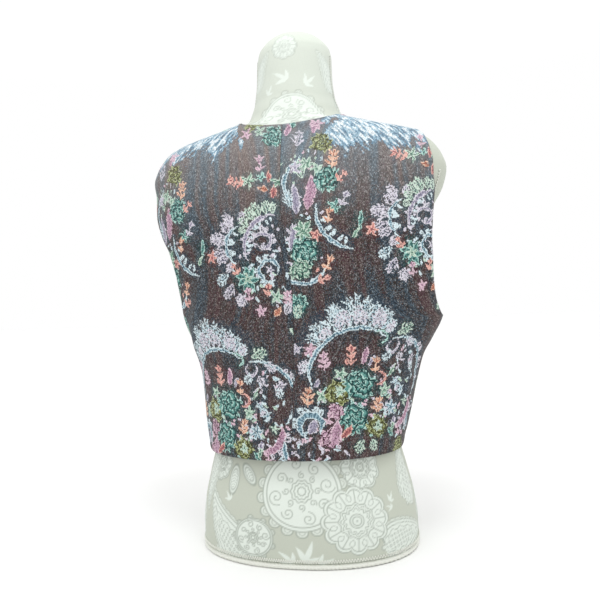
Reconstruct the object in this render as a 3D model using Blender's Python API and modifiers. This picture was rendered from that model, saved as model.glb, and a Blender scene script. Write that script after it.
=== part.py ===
"""A sleeveless cropped vest, a corset vest, on a limbless dress form. Metres, +Z up.

The wearer's front faces -Y and the wearer's left side is +X. The form stands on its flat base at z = 0. The vest is
four cloth panels, two backs and two fronts, each a thin wall with the seams left as hairline gaps, and a row of
buttons down the front overlap.
"""

import math
from collections import namedtuple

import bmesh
import bpy
import numpy as np
from mathutils import Vector

MM = 0.001

# Cloth and clearances
CLOTH = 2.0 * MM
SEAM_GAP = 0.3 * MM
RESTING_GAP = 0.1 * MM
CAP_GAP = 1.3 * MM
SIDE_GAP = 2.0 * MM
NECK_GAP = 2.0 * MM
LAP_GAP = 0.6 * MM

# Heights of the vest's edges above the base
HEM = 0.124
UNDERARM = 0.284
SHOULDER_TURN = 0.440
CAPS_START = 0.445
CAPS_WIDEST = 0.470
NECK_START = 0.515
BACK_NECK = 0.5225
NECK_SIDE = 0.5400

# Plan positions of the shoulder seam's ends, and of the front edge
NECK_SIDE_X = 0.068
SHOULDER_SEAM_Y = -0.018
LEFT_TIP_X = 0.175
RIGHT_TIP_X = 0.154
FRONT_BREAK = 0.335
OVERLAP = 0.011

# The upper front rises over the lower one between these distances from the centre front
LAP_RISE_START = 0.042
LAP_RISE_END = 0.016

# Buttons down the centre front
BUTTON_RADIUS = 7.5 * MM
BUTTON_HEIGHT = 4.2 * MM
SHANK_RADIUS = 2.4 * MM
SHANK_LENGTH = 1.6 * MM
TOP_BUTTON = 0.322
BUTTON_SPACING = 0.0435
BUTTON_COUNT = 5

# Cord sewn round the edge of the form's base
CORD_RADIUS = 3.5 * MM

# Facets
FORM_COLUMNS = 40
BACK_COLUMNS = 13
NECK_COLUMNS = 5
FRONT_COLUMNS = 14
SIDE_ROWS = 9
ARMHOLE_ROWS = 11
SHOULDER_ROWS = 14
ARMHOLE_CROWDING = 1.5
SHARP_DEGREES = 40
BUTTON_STEPS = 20

# Over the shoulders the rows fan out from the level rows, and this share of each point's sideways aim is kept
START_SPREAD = 0.3

# Steps of the searches for a shape's surface and its slopes
SEARCH_REACH = 50 * MM
SEARCH_HALVINGS = 36
SLOPE_STEP = 0.2 * MM

# Colours, as linear red, green and blue
COVER_COLOUR = (0.60, 0.61, 0.56)
CORD_COLOUR = (0.75, 0.75, 0.70)
CLOTH_COLOUR = (0.10, 0.09, 0.10)
BUTTON_COLOUR = (0.03, 0.03, 0.035)

Level = namedtuple("Level", "height half_width back front lean squareness")

# Sections of the form, from the base up: waist, bust, arm caps, shoulders, neck and its domed top
FORM_LEVELS = [
    Level(0.0000, 0.1318, 0.0930, 0.0920, 0.000, 2.2),
    Level(0.0076, 0.1318, 0.0930, 0.0920, 0.000, 2.2),
    Level(0.0080, 0.1380, 0.0992, 0.0982, 0.000, 2.2),
    Level(0.0300, 0.1380, 0.0985, 0.0975, 0.000, 2.2),
    Level(0.0600, 0.1350, 0.0955, 0.0940, 0.000, 2.2),
    Level(0.0950, 0.1270, 0.0870, 0.0860, 0.000, 2.2),
    Level(0.1300, 0.1190, 0.0800, 0.0810, 0.000, 2.2),
    Level(0.1600, 0.1170, 0.0790, 0.0840, 0.000, 2.2),
    Level(0.2000, 0.1200, 0.0820, 0.0940, 0.000, 2.2),
    Level(0.2500, 0.1270, 0.0870, 0.1130, 0.000, 2.2),
    Level(0.2900, 0.1330, 0.0910, 0.1190, 0.000, 2.2),
    Level(0.3300, 0.1380, 0.0940, 0.1130, 0.000, 2.2),
    Level(0.3700, 0.1440, 0.0970, 0.1020, -0.003, 2.2),
    Level(0.4000, 0.1560, 0.1000, 0.0910, -0.007, 2.25),
    Level(0.4250, 0.1740, 0.1020, 0.0810, -0.011, 2.35),
    Level(0.4500, 0.1870, 0.1030, 0.0710, -0.015, 2.4),
    Level(0.4700, 0.1910, 0.1010, 0.0630, -0.018, 2.4),
    Level(0.4860, 0.1860, 0.0965, 0.0570, -0.018, 2.4),
    Level(0.4980, 0.1785, 0.0920, 0.0520, -0.018, 2.35),
    Level(0.5060, 0.1710, 0.0885, 0.0490, -0.018, 2.3),
    Level(0.5120, 0.1600, 0.0855, 0.0470, -0.018, 2.25),
    Level(0.5170, 0.1430, 0.0825, 0.0450, -0.018, 2.2),
    Level(0.5220, 0.1240, 0.0795, 0.0430, -0.018, 2.15),
    Level(0.5275, 0.1055, 0.0760, 0.0410, -0.018, 2.1),
    Level(0.5330, 0.0850, 0.0725, 0.0395, -0.018, 2.0),
    Level(0.5385, 0.0690, 0.0685, 0.0385, -0.018, 2.0),
    Level(0.5460, 0.0620, 0.0640, 0.0390, -0.018, 2.0),
    Level(0.5550, 0.0580, 0.0590, 0.0410, -0.017, 2.0),
    Level(0.5700, 0.0530, 0.0520, 0.0440, -0.016, 2.0),
    Level(0.6000, 0.0495, 0.0480, 0.0470, -0.018, 2.0),
    Level(0.6250, 0.0490, 0.0475, 0.0475, -0.021, 2.0),
    Level(0.6360, 0.0472, 0.0460, 0.0460, -0.022, 2.0),
    Level(0.6460, 0.0405, 0.0405, 0.0405, -0.023, 2.0),
    Level(0.6550, 0.0305, 0.0305, 0.0305, -0.024, 2.0),
    Level(0.6605, 0.0180, 0.0180, 0.0180, -0.024, 2.0),
    Level(0.6620, 0.0060, 0.0060, 0.0060, -0.024, 2.0),
]

# Rows of facets on the form: from, to and how many
FORM_BANDS = [
    (0.0000, 0.0076, 1),
    (0.0080, 0.4000, 17),
    (0.4000, 0.4980, 8),
    (0.4980, 0.5180, 5),
    (0.5180, 0.5480, 12),
    (0.5480, 0.6250, 5),
    (0.6250, 0.6620, 7),
]

# Outside of the vest below the shoulders. Above them it follows the form.
VEST_LEVELS = [
    Level(0.1000, 0.1240, 0.0925, 0.0940, 0.000, 2.2),
    Level(0.1240, 0.1248, 0.0935, 0.0950, 0.000, 2.2),
    Level(0.1500, 0.1285, 0.0945, 0.0975, 0.000, 2.2),
    Level(0.1800, 0.1340, 0.0960, 0.1020, 0.000, 2.2),
    Level(0.2100, 0.1390, 0.0975, 0.1080, 0.000, 2.2),
    Level(0.2350, 0.1445, 0.0985, 0.1150, 0.000, 2.2),
    Level(0.2600, 0.1550, 0.1000, 0.1210, 0.000, 2.2),
    Level(0.2840, 0.1640, 0.1010, 0.1240, 0.000, 2.2),
    Level(0.3200, 0.1720, 0.1025, 0.1210, 0.000, 2.2),
    Level(0.3600, 0.1820, 0.1045, 0.1120, -0.002, 2.2),
    Level(0.4000, 0.1880, 0.1065, 0.0990, -0.006, 2.25),
    Level(0.4250, 0.1900, 0.1072, 0.0860, -0.010, 2.35),
]

# How far the worn vest has slipped sideways, towards the wearer's left (+) or right (-)
SwayLevel = namedtuple("SwayLevel", "height sway")
SWAY_LEVELS = [
    SwayLevel(0.120, 0.001),
    SwayLevel(0.150, -0.002),
    SwayLevel(0.190, -0.005),
    SwayLevel(0.230, -0.008),
    SwayLevel(0.270, -0.010),
    SwayLevel(0.310, -0.011),
    SwayLevel(0.350, -0.009),
    SwayLevel(0.390, -0.004),
    SwayLevel(0.430, 0.000),
    SwayLevel(0.440, 0.000),
]

# The armhole's edge, as the angle that it has turned back or forward from the side
ArmholeLevel = namedtuple("ArmholeLevel", "height back_left_degrees back_right_degrees front_degrees")
ARMHOLE_LEVELS = [
    ArmholeLevel(0.284, 0.0, 0.0, 0.0),
    ArmholeLevel(0.288, 5.0, 5.0, 8.0),
    ArmholeLevel(0.295, 9.0, 9.0, 15.0),
    ArmholeLevel(0.306, 12.5, 12.5, 21.0),
    ArmholeLevel(0.325, 15.5, 15.5, 26.0),
    ArmholeLevel(0.350, 18.0, 17.5, 29.0),
    ArmholeLevel(0.375, 18.0, 18.0, 29.0),
    ArmholeLevel(0.395, 14.5, 17.5, 29.0),
    ArmholeLevel(0.420, 11.0, 16.5, 27.0),
    ArmholeLevel(0.440, 9.5, 16.0, 25.0),
]

# Soft troughs and ridges of the worn cloth. Angles run from the wearer's left (0) by the back (90) to the right (180)
Fold = namedtuple("Fold", "degrees height tilt length width rise")
FOLDS = [
    Fold(180.0, 0.284, 0.0, 0.030, 0.026, 0.0045),
    Fold(158.0, 0.262, -52.0, 0.060, 0.012, -0.0022),
    Fold(22.0, 0.300, 55.0, 0.075, 0.010, -0.0024),
    Fold(38.0, 0.285, 60.0, 0.060, 0.011, 0.0018),
    Fold(96.0, 0.272, 80.0, 0.045, 0.009, -0.0020),
    Fold(83.0, 0.225, 74.0, 0.055, 0.012, 0.0016),
    Fold(128.0, 0.205, 66.0, 0.060, 0.013, -0.0018),
    Fold(52.0, 0.190, 82.0, 0.055, 0.012, -0.0016),
    Fold(8.0, 0.150, 70.0, 0.030, 0.016, 0.0030),
    Fold(-40.0, 0.250, 40.0, 0.060, 0.013, -0.0020),
    Fold(-62.0, 0.205, -58.0, 0.055, 0.013, 0.0018),
    Fold(216.0, 0.245, -42.0, 0.060, 0.013, -0.0020),
    Fold(240.0, 0.200, 60.0, 0.055, 0.013, 0.0016),
]


def read_levels(levels, heights):
    """Every column of a table of levels at the given heights, on smooth curves that never overshoot its rows."""
    rows = np.array(levels, float)
    level, value = rows[:, 0], rows[:, 1:]
    slope = np.diff(value, axis=0) / np.diff(level)[:, None]
    below, above = slope[:-1], slope[1:]
    total = np.where(below * above > 0, below + above, 1.0)
    tangent = np.zeros_like(value)
    tangent[1:-1] = np.where(below * above > 0, 2 * below * above / total, 0.0)
    heights = np.clip(heights, level[0], level[-1])
    row = np.clip(np.searchsorted(level, heights, side="right") - 1, 0, len(level) - 2)
    span = (level[row + 1] - level[row])[:, None]
    part = (heights[:, None] - level[row][:, None]) / span
    rise = part * part * (3 - 2 * part)
    leave = part * (1 - part) ** 2
    arrive = part * part * (part - 1)
    return (
        value[row] * (1 - rise)
        + value[row + 1] * rise
        + span * (tangent[row] * leave + tangent[row + 1] * arrive)
    ).T


def ring_points(levels, angles, heights):
    """Points on a shape's surface, at angles from +X towards +Y round its centre line."""
    half_width, back, front, lean, squareness = read_levels(levels, heights)
    across, along = np.cos(angles), np.sin(angles)
    depth = np.where(along > 0, back, front)
    reach = np.abs(across / half_width) ** squareness + np.abs(along / depth) ** squareness
    radius = reach ** (-1 / squareness)
    return np.stack([radius * across, radius * along + lean, heights], axis=-1)


def outwardness(levels, points):
    """Below 1 inside a shape and above 1 outside it."""
    half_width, back, front, lean, squareness = read_levels(levels, points[:, 2])
    y = points[:, 1] - lean
    depth = np.where(y > 0, back, front)
    return np.abs(points[:, 0] / half_width) ** squareness + np.abs(y / depth) ** squareness


def outward(levels, points):
    """Unit normals of a shape at points on its surface."""
    slopes = []
    for axis in np.eye(3):
        ahead, behind = points + axis * SLOPE_STEP, points - axis * SLOPE_STEP
        slopes.append(outwardness(levels, ahead) - outwardness(levels, behind))
    normals = np.stack(slopes, axis=-1)
    return normals / np.linalg.norm(normals, axis=-1, keepdims=True)


def cast_out(levels, guides, directions):
    """Where lines through the guide points leave the shape, searched a short way inside and outside."""
    inner = np.full(len(guides), -SEARCH_REACH)
    outer = np.full(len(guides), SEARCH_REACH)
    for _ in range(SEARCH_HALVINGS):
        middle = (inner + outer) / 2
        is_out = outwardness(levels, guides + directions * middle[:, None]) > 1
        outer = np.where(is_out, middle, outer)
        inner = np.where(is_out, inner, middle)
    return guides + directions * inner[:, None]


def vest_levels():
    """The vest's own levels, then the form's arm caps, shoulders and neck with room for the cloth to rest on them."""
    levels = list(VEST_LEVELS)
    for level in FORM_LEVELS:
        if level.height < CAPS_START:
            continue
        on_top = level.height > CAPS_WIDEST
        room = CLOTH + (CAP_GAP if on_top else SIDE_GAP)
        lift = CLOTH + RESTING_GAP if on_top else 0.0
        neck_room = NECK_GAP if level.height > NECK_START else 0.0
        sides = (level.half_width + room, level.back + room + neck_room, level.front + room)
        levels.append(Level(level.height + lift, *sides, level.lean, level.squareness))
    return levels


def fold_rise(points):
    """How far the worn cloth's folds lift points of the vest's surface."""
    angle = np.arctan2(points[:, 1], points[:, 0])
    girth = np.hypot(points[:, 0], points[:, 1])
    rise = np.zeros(len(points))
    for fold in FOLDS:
        turn = angle - math.radians(fold.degrees)
        turn = (turn + math.pi) % (2 * math.pi) - math.pi
        across, up = turn * girth, points[:, 2] - fold.height
        lean = math.radians(fold.tilt)
        along = across * math.cos(lean) + up * math.sin(lean)
        aside = up * math.cos(lean) - across * math.sin(lean)
        rise += fold.rise * np.exp(-((along / fold.length) ** 2) - (aside / fold.width) ** 2)
    return rise


def smooth_step(value, start, end):
    part = np.clip((value - start) / (end - start), 0, 1)
    return part * part * (3 - 2 * part)


def centre_edge(is_front, height):
    """How far a panel's centre edge lies from the centre line: a seam at the back, a lap and a V neck in front."""
    if not is_front:
        return SEAM_GAP / 2
    climb = (height - FRONT_BREAK) / (NECK_SIDE - FRONT_BREAK)
    return -OVERLAP + (NECK_SIDE_X + OVERLAP) * max(0.0, climb)


def armhole_angle(is_front, is_left, height):
    """How far the armhole's edge has turned from the side at a height, in radians."""
    back_left, back_right, front = read_levels(ARMHOLE_LEVELS, np.array([height]))[:, 0]
    if is_front:
        return math.radians(front)
    return math.radians(back_left if is_left else back_right)


def panel_row(levels, is_front, is_left, height, columns):
    """A level row of a panel, drawn on the left side, from its centre edge to the side seam or the armhole."""
    facing = -1 if is_front else 1
    half_width, back, front = read_levels(levels, np.array([height]))[:3, 0]
    depth = front if is_front else back
    centre = facing * (math.pi / 2 - math.asin(centre_edge(is_front, height) / depth))
    seam = math.asin(SEAM_GAP / 2 / half_width)
    side = facing * max(seam, armhole_angle(is_front, is_left, height))
    angles = centre + (side - centre) * columns
    return ring_points(levels, angles, np.full(len(columns), height)), angles


def top_edge(levels, is_front, tip_x, columns):
    """The panel's top edge: the back neckline, if it has one, and then the shoulder seam, with its upward normals."""
    facing = -1 if is_front else 1
    neck_share = 0.0 if is_front else NECK_COLUMNS / BACK_COLUMNS
    out_along = np.clip((columns - neck_share) / (1 - neck_share), 0, 1)
    x = NECK_SIDE_X + (tip_x - NECK_SIDE_X) * out_along
    y = np.full(len(x), SHOULDER_SEAM_Y + facing * SEAM_GAP / 2)
    up = np.tile([0.0, 0.0, 1.0], (len(x), 1))
    edge = cast_out(levels, np.stack([x, y, np.full(len(x), BACK_NECK)], axis=-1), up)
    normals = up
    round_neck = out_along == 0
    if not is_front:
        part = np.sin(columns[round_neck] / neck_share * math.pi / 2)
        angles = np.arccos(np.clip(part, SEAM_GAP / 2 / NECK_SIDE_X, 1))
        heights = BACK_NECK + (edge[round_neck, 2] - BACK_NECK) * part**2
        edge[round_neck] = ring_points(levels, angles, heights)
        normals[round_neck] = outward(levels, edge[round_neck])
    return edge, normals


def panel_grid(levels, is_front, is_left, columns, side_rows, armhole_rows, shoulder_rows):
    """Points outside a panel, drawn on the left side, one row after another from the hem to the shoulder seam."""
    across = np.linspace(0, 1, columns + 1)
    low = np.linspace(HEM, UNDERARM, side_rows + 1)
    climb = np.linspace(0, 1, armhole_rows + 1)[1:] ** ARMHOLE_CROWDING
    high = UNDERARM + (SHOULDER_TURN - UNDERARM) * climb
    rows = []
    for height in list(low) + list(high):
        points, angles = panel_row(levels, is_front, is_left, height, across)
        rows.append(points)
    start = rows[-1]
    start_normal = np.stack([START_SPREAD * np.cos(angles), np.sin(angles), np.zeros(len(angles))], axis=-1)
    end, end_normal = top_edge(levels, is_front, LEFT_TIP_X if is_left else RIGHT_TIP_X, across)
    corner = np.stack([(start[:, 0] + end[:, 0]) / 2, start[:, 1], end[:, 2]], axis=-1)
    for part in np.linspace(0, 1, shoulder_rows + 1)[1:-1]:
        guides = start * (1 - part) ** 2 + corner * 2 * part * (1 - part) + end * part**2
        directions = start_normal * (1 - part) + end_normal * part
        directions /= np.linalg.norm(directions, axis=-1, keepdims=True)
        if not is_front:
            guides[0, 0] = SEAM_GAP / 2
            directions[0, 0] = 0.0
            directions[0] /= np.linalg.norm(directions[0])
        rows.append(cast_out(levels, guides, directions))
    rows.append(end)
    return np.array(rows)


def panel_walls(is_front, is_left, grid_size):
    """The outside and inside points of one panel, its sway, folds and front lap included."""
    levels = vest_levels()
    grid = panel_grid(levels, is_front, is_left, *grid_size)
    shape = grid.shape
    points = grid.reshape(-1, 3)
    normals = outward(levels, points)
    from_centre = points[:, 0].copy()
    side = 1 if is_left else -1
    points[:, 0] = points[:, 0] * side + read_levels(SWAY_LEVELS, points[:, 2])[0]
    normals[:, 0] *= side
    rise = fold_rise(points)
    if is_front and not is_left:
        rise += (CLOTH + LAP_GAP) * smooth_step(from_centre, LAP_RISE_START, LAP_RISE_END)
    outside = points + normals * rise[:, None]
    inside = outside - normals * CLOTH
    return outside.reshape(shape), inside.reshape(shape)


def mesh_object(name, points, faces, colour, roughness):
    """A smooth closed mesh with its own material, its faces turned outwards."""
    mesh = bpy.data.meshes.new(name)
    mesh.from_pydata([tuple(p) for p in points], [], faces)
    shape = bmesh.new()
    shape.from_mesh(mesh)
    bmesh.ops.recalc_face_normals(shape, faces=shape.faces)
    shape.to_mesh(mesh)
    shape.free()
    mesh.shade_smooth()
    mesh.set_sharp_from_angle(angle=math.radians(SHARP_DEGREES))
    return place(bpy.data.objects.new(name, mesh), colour, roughness)


def place(thing, colour, roughness):
    """Puts an object in the part's collection with a material of its own."""
    material = bpy.data.materials.new(thing.name)
    material.use_nodes = True
    finish = material.node_tree.nodes["Principled BSDF"]
    finish.inputs["Base Color"].default_value = (*colour, 1)
    finish.inputs["Roughness"].default_value = roughness
    finish.inputs["Metallic"].default_value = 0.0
    thing.data.materials.append(material)
    bpy.data.collections["corset_vest"].objects.link(thing)
    return thing


def grid_faces(rows, columns, first=0, closed=False):
    """Quads between neighbouring rows of points. A closed grid's last column meets its first."""
    faces = []
    for row in range(rows - 1):
        for column in range(columns if closed else columns - 1):
            beside = (column + 1) % columns
            low, high = first + row * columns, first + (row + 1) * columns
            faces.append((low + column, low + beside, high + beside, high + column))
    return faces


def dress_form():
    """The torso, arm caps, neck and domed top as one loft through level rings."""
    heights = []
    for start, end, count in FORM_BANDS:
        band = np.linspace(start, end, count + 1)
        heights.extend(band if not heights or start > heights[-1] else band[1:])
    angles = np.arange(FORM_COLUMNS) * 2 * math.pi / FORM_COLUMNS
    points = [ring_points(FORM_LEVELS, angles, np.full(FORM_COLUMNS, h)) for h in heights]
    faces = grid_faces(len(heights), FORM_COLUMNS, closed=True)
    last = (len(heights) - 1) * FORM_COLUMNS
    faces.append(tuple(range(FORM_COLUMNS))[::-1])
    faces.append(tuple(range(last, last + FORM_COLUMNS)))
    return mesh_object("dress_form", np.concatenate(points), faces, COVER_COLOUR, 0.8)


def base_cord():
    """A cord round the form's base, lying in the step under the cover's edge."""
    line = bpy.data.curves.new("base_cord", "CURVE")
    line.dimensions = "3D"
    line.bevel_depth = CORD_RADIUS
    line.bevel_resolution = 2
    line.resolution_u = 1
    spline = line.splines.new("POLY")
    spline.points.add(FORM_COLUMNS - 1)
    spline.use_cyclic_u = True
    angles = np.arange(FORM_COLUMNS) * 2 * math.pi / FORM_COLUMNS
    height = CORD_RADIUS + SEAM_GAP / 2
    ring = ring_points(FORM_LEVELS, angles, np.full(FORM_COLUMNS, height))
    normals = outward(FORM_LEVELS, ring)
    for point, place_of, normal in zip(spline.points, ring, normals):
        point.co = (*(place_of + normal * (CORD_RADIUS + SEAM_GAP)), 1)
        point.co[2] = height
    return place(bpy.data.objects.new("base_cord", line), CORD_COLOUR, 0.9)


def vest_panel(name, is_front, is_left):
    """One cut panel of the vest as a closed wall: its outside, its inside and the edge between them."""
    panel_columns = FRONT_COLUMNS if is_front else BACK_COLUMNS
    grid_size = (panel_columns, SIDE_ROWS, ARMHOLE_ROWS, SHOULDER_ROWS)
    outside, inside = panel_walls(is_front, is_left, grid_size)
    rows, columns = outside.shape[:2]
    count = rows * columns
    faces = grid_faces(rows, columns)
    faces += [face[::-1] for face in grid_faces(rows, columns, first=count)]
    edge = [(0, c) for c in range(columns)]
    edge += [(r, columns - 1) for r in range(1, rows)]
    edge += [(rows - 1, c) for c in range(columns - 2, -1, -1)]
    edge += [(r, 0) for r in range(rows - 2, 0, -1)]
    rim = [r * columns + c for r, c in edge]
    for near, far in zip(rim, rim[1:] + rim[:1]):
        faces.append((far, near, near + count, far + count))
    points = np.concatenate([outside.reshape(-1, 3), inside.reshape(-1, 3)])
    return mesh_object(name, points, faces, CLOTH_COLOUR, 0.85)


def front_point(height):
    """The top layer's surface and its normal on the centre front, at a height."""
    levels = vest_levels()
    point = ring_points(levels, np.array([-math.pi / 2]), np.array([height]))
    normal = outward(levels, point)
    point[:, 0] += read_levels(SWAY_LEVELS, point[:, 2])[0]
    rise = fold_rise(point)[0] + CLOTH + LAP_GAP
    return Vector(point[0] + normal[0] * rise), Vector(normal[0])


def button(number):
    """A turned button: a short shank under a low dome with a rounded rim."""
    rim = BUTTON_HEIGHT - SHANK_LENGTH
    profile = [
        (0.0, BUTTON_HEIGHT),
        (0.45 * BUTTON_RADIUS, BUTTON_HEIGHT - 0.08 * rim),
        (0.82 * BUTTON_RADIUS, BUTTON_HEIGHT - 0.38 * rim),
        (BUTTON_RADIUS, SHANK_LENGTH + 0.30 * rim),
        (0.94 * BUTTON_RADIUS, SHANK_LENGTH),
        (SHANK_RADIUS, SHANK_LENGTH),
        (SHANK_RADIUS, 0.0),
        (0.0, 0.0),
    ]
    name = f"button_{number + 1}"
    mesh = bpy.data.meshes.new(name)
    points = [(radius, 0.0, height) for radius, height in profile]
    mesh.from_pydata(points, [(i, i + 1) for i in range(len(points) - 1)], [])
    thing = place(bpy.data.objects.new(name, mesh), BUTTON_COLOUR, 0.4)
    turn = thing.modifiers.new("turn", "SCREW")
    turn.steps = BUTTON_STEPS
    turn.render_steps = BUTTON_STEPS
    turn.use_merge_vertices = True
    turn.merge_threshold = 0.00001
    seat, normal = front_point(TOP_BUTTON - number * BUTTON_SPACING)
    thing.location = seat + normal * SEAM_GAP
    thing.rotation_mode = "QUATERNION"
    thing.rotation_quaternion = normal.to_track_quat("Z", "Y")
    return thing


def main():
    for thing in list(bpy.data.objects):
        bpy.data.objects.remove(thing)
    collection = bpy.data.collections.new("corset_vest")
    bpy.context.scene.collection.children.link(collection)
    dress_form()
    base_cord()
    vest_panel("back_left", is_front=False, is_left=True)
    vest_panel("back_right", is_front=False, is_left=False)
    vest_panel("front_left", is_front=True, is_left=True)
    vest_panel("front_right", is_front=True, is_left=False)
    for number in range(BUTTON_COUNT):
        button(number)


main()
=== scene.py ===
"""The looks of a cropped jacquard vest, a corset vest, on its cloth-covered dress form. Metres, +Z up.

The wearer's front faces -Y and the wearer's left side is +X. The jacquard's repeat is drawn here motif by
motif in named yarns, and each panel of the vest is cut from it on its own stretch of the cloth.
"""

import math
from collections import namedtuple

import bpy
import numpy as np
from mathutils import Matrix, Vector


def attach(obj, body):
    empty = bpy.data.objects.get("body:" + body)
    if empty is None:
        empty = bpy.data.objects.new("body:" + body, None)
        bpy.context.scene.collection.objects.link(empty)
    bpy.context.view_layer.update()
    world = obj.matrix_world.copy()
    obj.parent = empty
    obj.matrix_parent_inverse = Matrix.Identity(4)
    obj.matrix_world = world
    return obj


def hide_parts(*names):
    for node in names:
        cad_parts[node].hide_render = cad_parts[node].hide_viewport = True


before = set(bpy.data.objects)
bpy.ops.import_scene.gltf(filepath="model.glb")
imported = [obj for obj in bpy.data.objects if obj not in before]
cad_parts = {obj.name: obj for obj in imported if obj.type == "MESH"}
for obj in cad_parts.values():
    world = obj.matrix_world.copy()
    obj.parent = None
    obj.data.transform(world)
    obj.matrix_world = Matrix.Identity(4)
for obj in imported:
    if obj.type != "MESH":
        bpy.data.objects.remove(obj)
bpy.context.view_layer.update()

MM = 0.001

# Sizes shared with the solids
CLOTH = 2.0 * MM
SEAM_GAP = 0.3 * MM
RESTING_GAP = 0.1 * MM
CAP_GAP = 1.3 * MM
SIDE_GAP = 2.0 * MM
NECK_GAP = 2.0 * MM
LAP_GAP = 0.6 * MM
HEM = 0.124
UNDERARM = 0.284
SHOULDER_TURN = 0.440
CAPS_START = 0.445
CAPS_WIDEST = 0.470
NECK_START = 0.515
BACK_NECK = 0.5225
NECK_SIDE = 0.5400
NECK_SIDE_X = 0.068
SHOULDER_SEAM_Y = -0.018
LEFT_TIP_X = 0.175
RIGHT_TIP_X = 0.154
FRONT_BREAK = 0.335
OVERLAP = 0.011
LAP_RISE_START = 0.042
LAP_RISE_END = 0.016
NECK_SHARE = 5 / 13
START_SPREAD = 0.3
SEARCH_REACH = 50 * MM
SEARCH_HALVINGS = 30
SLOPE_STEP = 0.2 * MM
BUTTON_RADIUS = 7.5 * MM
TOP_BUTTON = 0.322
BUTTON_SPACING = 0.0435
BUTTON_COUNT = 5
CORD_RADIUS = 3.5 * MM

Level = namedtuple("Level", "height half_width back front lean squareness")

FORM_LEVELS = [
    Level(0.0000, 0.1318, 0.0930, 0.0920, 0.000, 2.2),
    Level(0.0076, 0.1318, 0.0930, 0.0920, 0.000, 2.2),
    Level(0.0080, 0.1380, 0.0992, 0.0982, 0.000, 2.2),
    Level(0.0300, 0.1380, 0.0985, 0.0975, 0.000, 2.2),
    Level(0.0600, 0.1350, 0.0955, 0.0940, 0.000, 2.2),
    Level(0.0950, 0.1270, 0.0870, 0.0860, 0.000, 2.2),
    Level(0.1300, 0.1190, 0.0800, 0.0810, 0.000, 2.2),
    Level(0.1600, 0.1170, 0.0790, 0.0840, 0.000, 2.2),
    Level(0.2000, 0.1200, 0.0820, 0.0940, 0.000, 2.2),
    Level(0.2500, 0.1270, 0.0870, 0.1130, 0.000, 2.2),
    Level(0.2900, 0.1330, 0.0910, 0.1190, 0.000, 2.2),
    Level(0.3300, 0.1380, 0.0940, 0.1130, 0.000, 2.2),
    Level(0.3700, 0.1440, 0.0970, 0.1020, -0.003, 2.2),
    Level(0.4000, 0.1560, 0.1000, 0.0910, -0.007, 2.25),
    Level(0.4250, 0.1740, 0.1020, 0.0810, -0.011, 2.35),
    Level(0.4500, 0.1870, 0.1030, 0.0710, -0.015, 2.4),
    Level(0.4700, 0.1910, 0.1010, 0.0630, -0.018, 2.4),
    Level(0.4860, 0.1860, 0.0965, 0.0570, -0.018, 2.4),
    Level(0.4980, 0.1785, 0.0920, 0.0520, -0.018, 2.35),
    Level(0.5060, 0.1710, 0.0885, 0.0490, -0.018, 2.3),
    Level(0.5120, 0.1600, 0.0855, 0.0470, -0.018, 2.25),
    Level(0.5170, 0.1430, 0.0825, 0.0450, -0.018, 2.2),
    Level(0.5220, 0.1240, 0.0795, 0.0430, -0.018, 2.15),
    Level(0.5275, 0.1055, 0.0760, 0.0410, -0.018, 2.1),
    Level(0.5330, 0.0850, 0.0725, 0.0395, -0.018, 2.0),
    Level(0.5385, 0.0690, 0.0685, 0.0385, -0.018, 2.0),
    Level(0.5460, 0.0620, 0.0640, 0.0390, -0.018, 2.0),
    Level(0.5550, 0.0580, 0.0590, 0.0410, -0.017, 2.0),
    Level(0.5700, 0.0530, 0.0520, 0.0440, -0.016, 2.0),
    Level(0.6000, 0.0495, 0.0480, 0.0470, -0.018, 2.0),
    Level(0.6250, 0.0490, 0.0475, 0.0475, -0.021, 2.0),
    Level(0.6360, 0.0472, 0.0460, 0.0460, -0.022, 2.0),
    Level(0.6460, 0.0405, 0.0405, 0.0405, -0.023, 2.0),
    Level(0.6550, 0.0305, 0.0305, 0.0305, -0.024, 2.0),
    Level(0.6605, 0.0180, 0.0180, 0.0180, -0.024, 2.0),
    Level(0.6620, 0.0060, 0.0060, 0.0060, -0.024, 2.0),
]

VEST_LEVELS = [
    Level(0.1000, 0.1240, 0.0925, 0.0940, 0.000, 2.2),
    Level(0.1240, 0.1248, 0.0935, 0.0950, 0.000, 2.2),
    Level(0.1500, 0.1285, 0.0945, 0.0975, 0.000, 2.2),
    Level(0.1800, 0.1340, 0.0960, 0.1020, 0.000, 2.2),
    Level(0.2100, 0.1390, 0.0975, 0.1080, 0.000, 2.2),
    Level(0.2350, 0.1445, 0.0985, 0.1150, 0.000, 2.2),
    Level(0.2600, 0.1550, 0.1000, 0.1210, 0.000, 2.2),
    Level(0.2840, 0.1640, 0.1010, 0.1240, 0.000, 2.2),
    Level(0.3200, 0.1720, 0.1025, 0.1210, 0.000, 2.2),
    Level(0.3600, 0.1820, 0.1045, 0.1120, -0.002, 2.2),
    Level(0.4000, 0.1880, 0.1065, 0.0990, -0.006, 2.25),
    Level(0.4250, 0.1900, 0.1072, 0.0860, -0.010, 2.35),
]

# How far the worn vest has slipped sideways, towards the wearer's left (+) or right (-)
SwayLevel = namedtuple("SwayLevel", "height sway")
SWAY_LEVELS = [
    SwayLevel(0.120, 0.001),
    SwayLevel(0.150, -0.002),
    SwayLevel(0.190, -0.005),
    SwayLevel(0.230, -0.008),
    SwayLevel(0.270, -0.010),
    SwayLevel(0.310, -0.011),
    SwayLevel(0.350, -0.009),
    SwayLevel(0.390, -0.004),
    SwayLevel(0.430, 0.000),
    SwayLevel(0.440, 0.000),
]

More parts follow.
